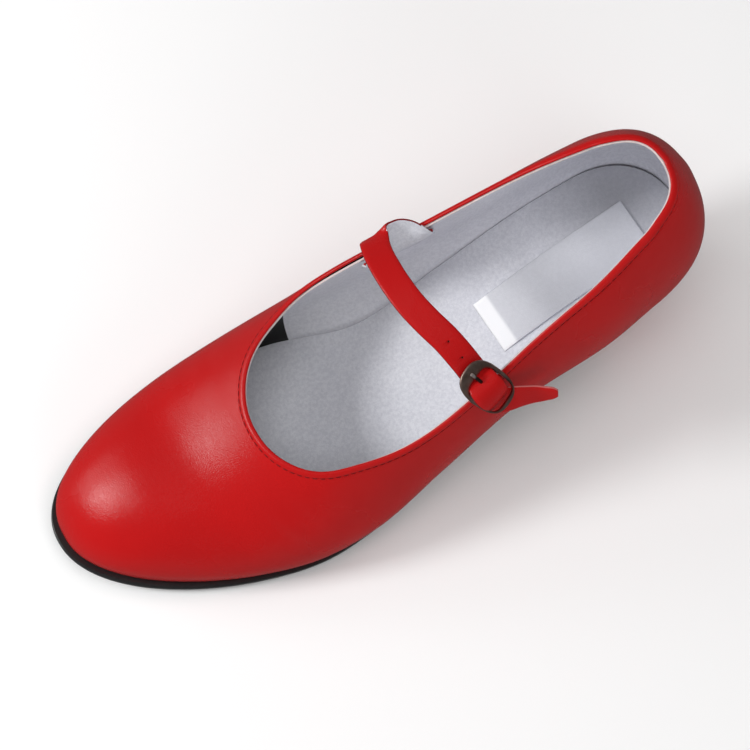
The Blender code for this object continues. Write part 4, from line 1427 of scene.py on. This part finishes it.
def strip_frames(folds, samples, thickness):
    """Middle, half-width and half-thickness vectors along a smooth curve through the folds."""
    rows = resampled(folds, ("station", "side", "height"), samples)
    middles = [placed(row.station, row.side, row.height) for row in rows]
    frames = []
    for k, row in enumerate(rows):
        run = (middles[min(k + 1, samples)] - middles[max(k - 1, 0)]).normalized()
        yaw = radians(row.yaw)
        tilt = radians(row.tilt)
        width = Vector((cos(yaw) * cos(tilt), sin(yaw) * cos(tilt), sin(tilt)))
        width = (width - run * width.dot(run)).normalized()
        frames.append((middles[k], width * row.width / 2 * MM, run.cross(width) * thickness / 2 * MM))
    return frames


def under_collar(side, spot):
    """Whether a spot of a strip lies in its ear, on that side of the shoe and below the collar."""
    collar = collar_height(side, MID_STATION - spot.x / MM)
    return sign(side) * spot.y > 0.0 and spot.z / MM < collar + LINED_ABOVE


def make_strip(frames, side):
    """A closed strip with a face, a back and two cut edges, which are lined below the collar of a side."""
    def point(row, around):
        middle, width, lift = frames[row]
        across, rise = section_spot(around)
        return middle + width * across + lift * rise

    bm = bmesh.new()
    carried_grid(bm, len(frames) - 1, SECTION_STEPS, point)
    bmesh.ops.remove_doubles(bm, verts=bm.verts, dist=WELD)
    bmesh.ops.holes_fill(bm, edges=[line for line in bm.edges if line.is_boundary], sides=0)
    at_row = bm.verts.layers.int["row"]
    for face in bm.faces:
        rise = sum(section_spot(vert[at_row])[1] for vert in face.verts) / len(face.verts)
        face.material_index = EDGE if abs(rise) < EDGE_RISE else FACE if rise > 0.0 else BACK
        if face.material_index == EDGE and under_collar(side, face.calc_center_median()):
            face.material_index = BACK
    bmesh.ops.recalc_face_normals(bm, faces=bm.faces)
    return bm


# %% Instep strap
STRAP_ROWS = 200
strap_folds = ear_folds("medial", MEDIAL_EAR, STRAP_THICKNESS, STRAP_EAR_GAP) + list(STRAP_ARCH)
strap_folds += [buckle_fold(step) for step in STRAP_PASS]
strap_frames = strip_frames(strap_folds, STRAP_ROWS, STRAP_THICKNESS)
bm = make_strip(strap_frames, "medial")

# %% [markdown]
# The strap is punched for the prong. Each hole starts as one vertex on the middle of the face: a vertex
# bevel opens it to a small round, and the round is drawn down into the leather. Its walls and floor are
# near-black, a painted shade.

# %% Punched holes
TAIL_ROW = 168
HOLE_SIDES = (-13.0, -19.0)
HOLE_RADIUS = 0.6
HOLE_DEPTH = 1.0
bm.normal_update()
at_row = bm.verts.layers.int["row"]
at_column = bm.verts.layers.int["column"]
# Cut edges along the tail take the paler tint, a painted highlight.
for face in bm.faces:
    if face.material_index == EDGE and min(vert[at_column] for vert in face.verts) > TAIL_ROW:
        face.material_index = TAIL_HIGHLIGHT
for hole_side in HOLE_SIDES:
    middle_line = [vert for vert in bm.verts if vert[at_row] == SECTION_STEPS // 4]
    start = min(middle_line, key=lambda vert: abs(vert.co.y / MM - hole_side))
    inward = -start.normal
    opened = bmesh.ops.bevel(
        bm, geom=[start], offset=HOLE_RADIUS * MM, offset_type="OFFSET", segments=3, profile=0.5,
        affect="VERTICES", material=-1,
    )["faces"]
    drawn = bmesh.ops.extrude_face_region(bm, geom=opened)["geom"]
    bmesh.ops.delete(bm, geom=opened, context="FACES_ONLY")
    deep = [item for item in drawn if isinstance(item, bmesh.types.BMVert)]
    bmesh.ops.translate(bm, vec=inward * HOLE_DEPTH * MM, verts=deep)
    # Painted shade: the hole's walls and floor take the near-black lining finish.
    for face in {face for vert in deep for face in vert.link_faces}:
        face.material_index = HOLE_SHADE
bmesh.ops.recalc_face_normals(bm, faces=bm.faces)
strap_finishes = [red_leather, lining_leather, dark_edge, vamp_lining_and_hole_shade, tail_edge_highlight]
add_piece("instep_strap", bm, strap_finishes, ["strap"])
strap_length = sum((b[0] - a[0]).length for a, b in zip(strap_frames, strap_frames[1:]))
print("strap:", round(strap_length / MM), "mm along its middle")

# %% [markdown]
# The buckle hangs on a short red tab that comes up out of the lateral quarter, goes round the buckle's bar
# and ends behind it. It is the strap's own strip again, with a turn round the bar at the end of its folds.

# %% Buckle tab
TAB_ROWS = 90
TAB_END_WIDTH = 7.6
TAB_WRAP_START = -13.0
TAB_WRAP_TURN = 230.0
TAB_WRAP_STEPS = 10
tab_radius = BAR_RADIUS + FEATHER_GAP + TAB_THICKNESS / 2
swing = radians(BUCKLE_SWING)
tab_folds = ear_folds("lateral", LATERAL_EAR, TAB_THICKNESS, TAB_EAR_GAP) + [TAB_NECK]
for k in range(TAB_WRAP_STEPS + 1):
    angle = radians(TAB_WRAP_START + TAB_WRAP_TURN * k / TAB_WRAP_STEPS)
    along, lift = tab_radius * cos(angle), tab_radius * sin(angle) - BAR_DEPTH
    step = Pass(-along * sin(swing), along * cos(swing), lift, TAB_END_WIDTH, BUCKLE_SWING, 0.0)
    tab_folds.append(buckle_fold(step))
add_piece(
    "buckle_loop", make_strip(strip_frames(tab_folds, TAB_ROWS, TAB_THICKNESS), "lateral"),
    [red_leather, red_leather, dark_edge], ["buckle_tab"],
)

# %% [markdown]
# Such a buckle is cast: a rounded rod between an outline and an opening, which widens to a plate at one
# end. A sunk bar on two lugs carries the tab. Cutting a hole in a plate would leave sharp edges, so a soft
# section is carried round between the two ovals. The prong keeps its solid; it is coloured darker than the
# frame as painted shade, with a painted glint at its tip.

# %% Buckle frame
Window = namedtuple("Window", "half_width near far power")
OUTLINE = Window(7.1, -10.4, 10.4, 2.6)
OPENING = Window(5.7, -8.9, 5.5, 4.0)
FRAME_STEPS = 120
ROD_STEPS = 20
ROD_POWER = 3.0
ROD_RISE_POWER = 2.4
FRAME_THICKNESS = 1.6
LUG_SIDE = 6.3
LUG_WIDTH = 1.6
LUG_BEVEL = 0.3
# Painted glint at the prong's tip.
PRONG_GLINT = (0.85, 0.83, 0.80)
PRONG_GLINT_FULL = 1.2
PRONG_GLINT_END = 2.0


def window_point(window, angle):
    across, along = rounded_spot(angle, window.power, window.power)
    middle = (window.near + window.far) / 2
    return Vector((across * window.half_width, middle + along * (window.far - window.near) / 2, 0.0))


def frame_point(step, around):
    angle = 2 * pi * step / FRAME_STEPS
    rim_spot = window_point(OUTLINE, angle)
    hole_spot = window_point(OPENING, angle)
    across, lift = rounded_spot(2 * pi * around / ROD_STEPS, ROD_POWER, ROD_RISE_POWER)
    spot = rim_spot.lerp(hole_spot, (1 - across) / 2)
    spot.z = lift * FRAME_THICKNESS / 2
    return spot * MM


buckle_turn = strap_turn.to_4x4() @ Matrix.Rotation(swing, 4, "Z")
buckle_place = Matrix.Translation(placed(*BUCKLE_AT)) @ buckle_turn
bm = bmesh.new()
carried_grid(bm, FRAME_STEPS, ROD_STEPS, frame_point)
bmesh.ops.remove_doubles(bm, verts=bm.verts, dist=WELD)
bmesh.ops.create_cone(
    bm, cap_ends=True, segments=ROD_STEPS, radius1=BAR_RADIUS * MM, radius2=BAR_RADIUS * MM,
    depth=2 * LUG_SIDE * MM,
    matrix=Matrix.Translation((0.0, 0.0, -BAR_DEPTH * MM)) @ Matrix.Rotation(pi / 2, 4, "Y"),
)
lug_depth = BAR_DEPTH + BAR_RADIUS
lug_size = Matrix.Diagonal((LUG_WIDTH, LUG_WIDTH, lug_depth, 1.0))
for side in (-LUG_SIDE, LUG_SIDE):
    lug_place = Matrix.Translation((side * MM, 0.0, -lug_depth / 2 * MM))
    lug = bmesh.ops.create_cube(bm, size=MM, matrix=lug_place @ lug_size)
    edges = list({line for vert in lug["verts"] for line in vert.link_edges})
    bmesh.ops.bevel(
        bm, geom=edges, offset=LUG_BEVEL * MM, offset_type="OFFSET", segments=2, profile=0.5,
        affect="EDGES", material=-1,
    )
bmesh.ops.transform(bm, matrix=buckle_place, verts=bm.verts)
bmesh.ops.recalc_face_normals(bm, faces=bm.faces)
add_piece("buckle", bm, [buckle_metal], ["buckle_frame"])

prong = nodes["buckle_prong"].data
to_buckle = buckle_place.inverted()
prong_tip = max((vert.co for vert in prong.vertices), key=lambda spot: (to_buckle @ spot).y)
# Painted glint: the prong's tip is blended towards a pale colour.
tip_glint = near_spot(prong_metal, prong_tip, PRONG_GLINT_FULL, PRONG_GLINT_END, 1.0)
blend_in(prong_metal, tip_glint, PRONG_GLINT)
prong.materials.clear()
prong.materials.append(prong_metal)
print("prong tip at", tuple(round(v / MM, 1) for v in prong_tip), "mm")

# %% [markdown]
# ## Floor and light
# The photograph has a plain white ground and soft light from the toe's side. A large plane takes the shadow;
# glossy rays don't see it, or its white would lie over the red as a haze. Two lamps draw the highlights on
# toe and vamp, two wide fills without highlights lift the shadows, and the world adds only a little.

# %% Floor
FLOOR_HALF = 3.0
FLOOR_WHITE = (0.93, 0.93, 0.93)
FLOOR_ROUGHNESS = 0.8
bm = bmesh.new()
bmesh.ops.create_grid(bm, x_segments=1, y_segments=1, size=FLOOR_HALF)
floor_mesh = bpy.data.meshes.new("floor")
bm.to_mesh(floor_mesh)
bm.free()
floor_mesh.materials.append(new_material("floor_white", FLOOR_WHITE, FLOOR_ROUGHNESS)[0])
floor = bpy.data.objects.new("floor", floor_mesh)
bpy.context.scene.collection.objects.link(floor)
floor.visible_glossy = False

# %% Light
Lamp = namedtuple("Lamp", "name place size power shines")
LAMPS = (
    Lamp("key", (-0.84, 0.44, 0.80), 0.30, 8.0, True),
    Lamp("side", (-0.80, 0.84, 0.56), 0.45, 3.0, True),
    Lamp("fill", (0.10, -0.10, 1.45), 1.2, 11.0, False),
    Lamp("low_fill", (-0.10, -1.10, 0.45), 0.9, 3.5, False),
)
WORLD_STRENGTH = 0.14
for lamp in LAMPS:
    lamp_data = bpy.data.lights.new(lamp.name, "AREA")
    lamp_data.size = lamp.size
    lamp_data.energy = lamp.power
    light = bpy.data.objects.new(lamp.name, lamp_data)
    light.location = lamp.place
    light.rotation_euler = (AIM - Vector(lamp.place)).to_track_quat("-Z", "Y").to_euler()
    light.visible_glossy = lamp.shines
    bpy.context.scene.collection.objects.link(light)
world = bpy.data.worlds.new("studio")
world.use_nodes = True
world.node_tree.nodes["Background"].inputs["Color"].default_value = (1.0, 1.0, 1.0, 1.0)
world.node_tree.nodes["Background"].inputs["Strength"].default_value = WORLD_STRENGTH
bpy.context.scene.world = world
bpy.context.scene.view_settings.view_transform = "Standard"
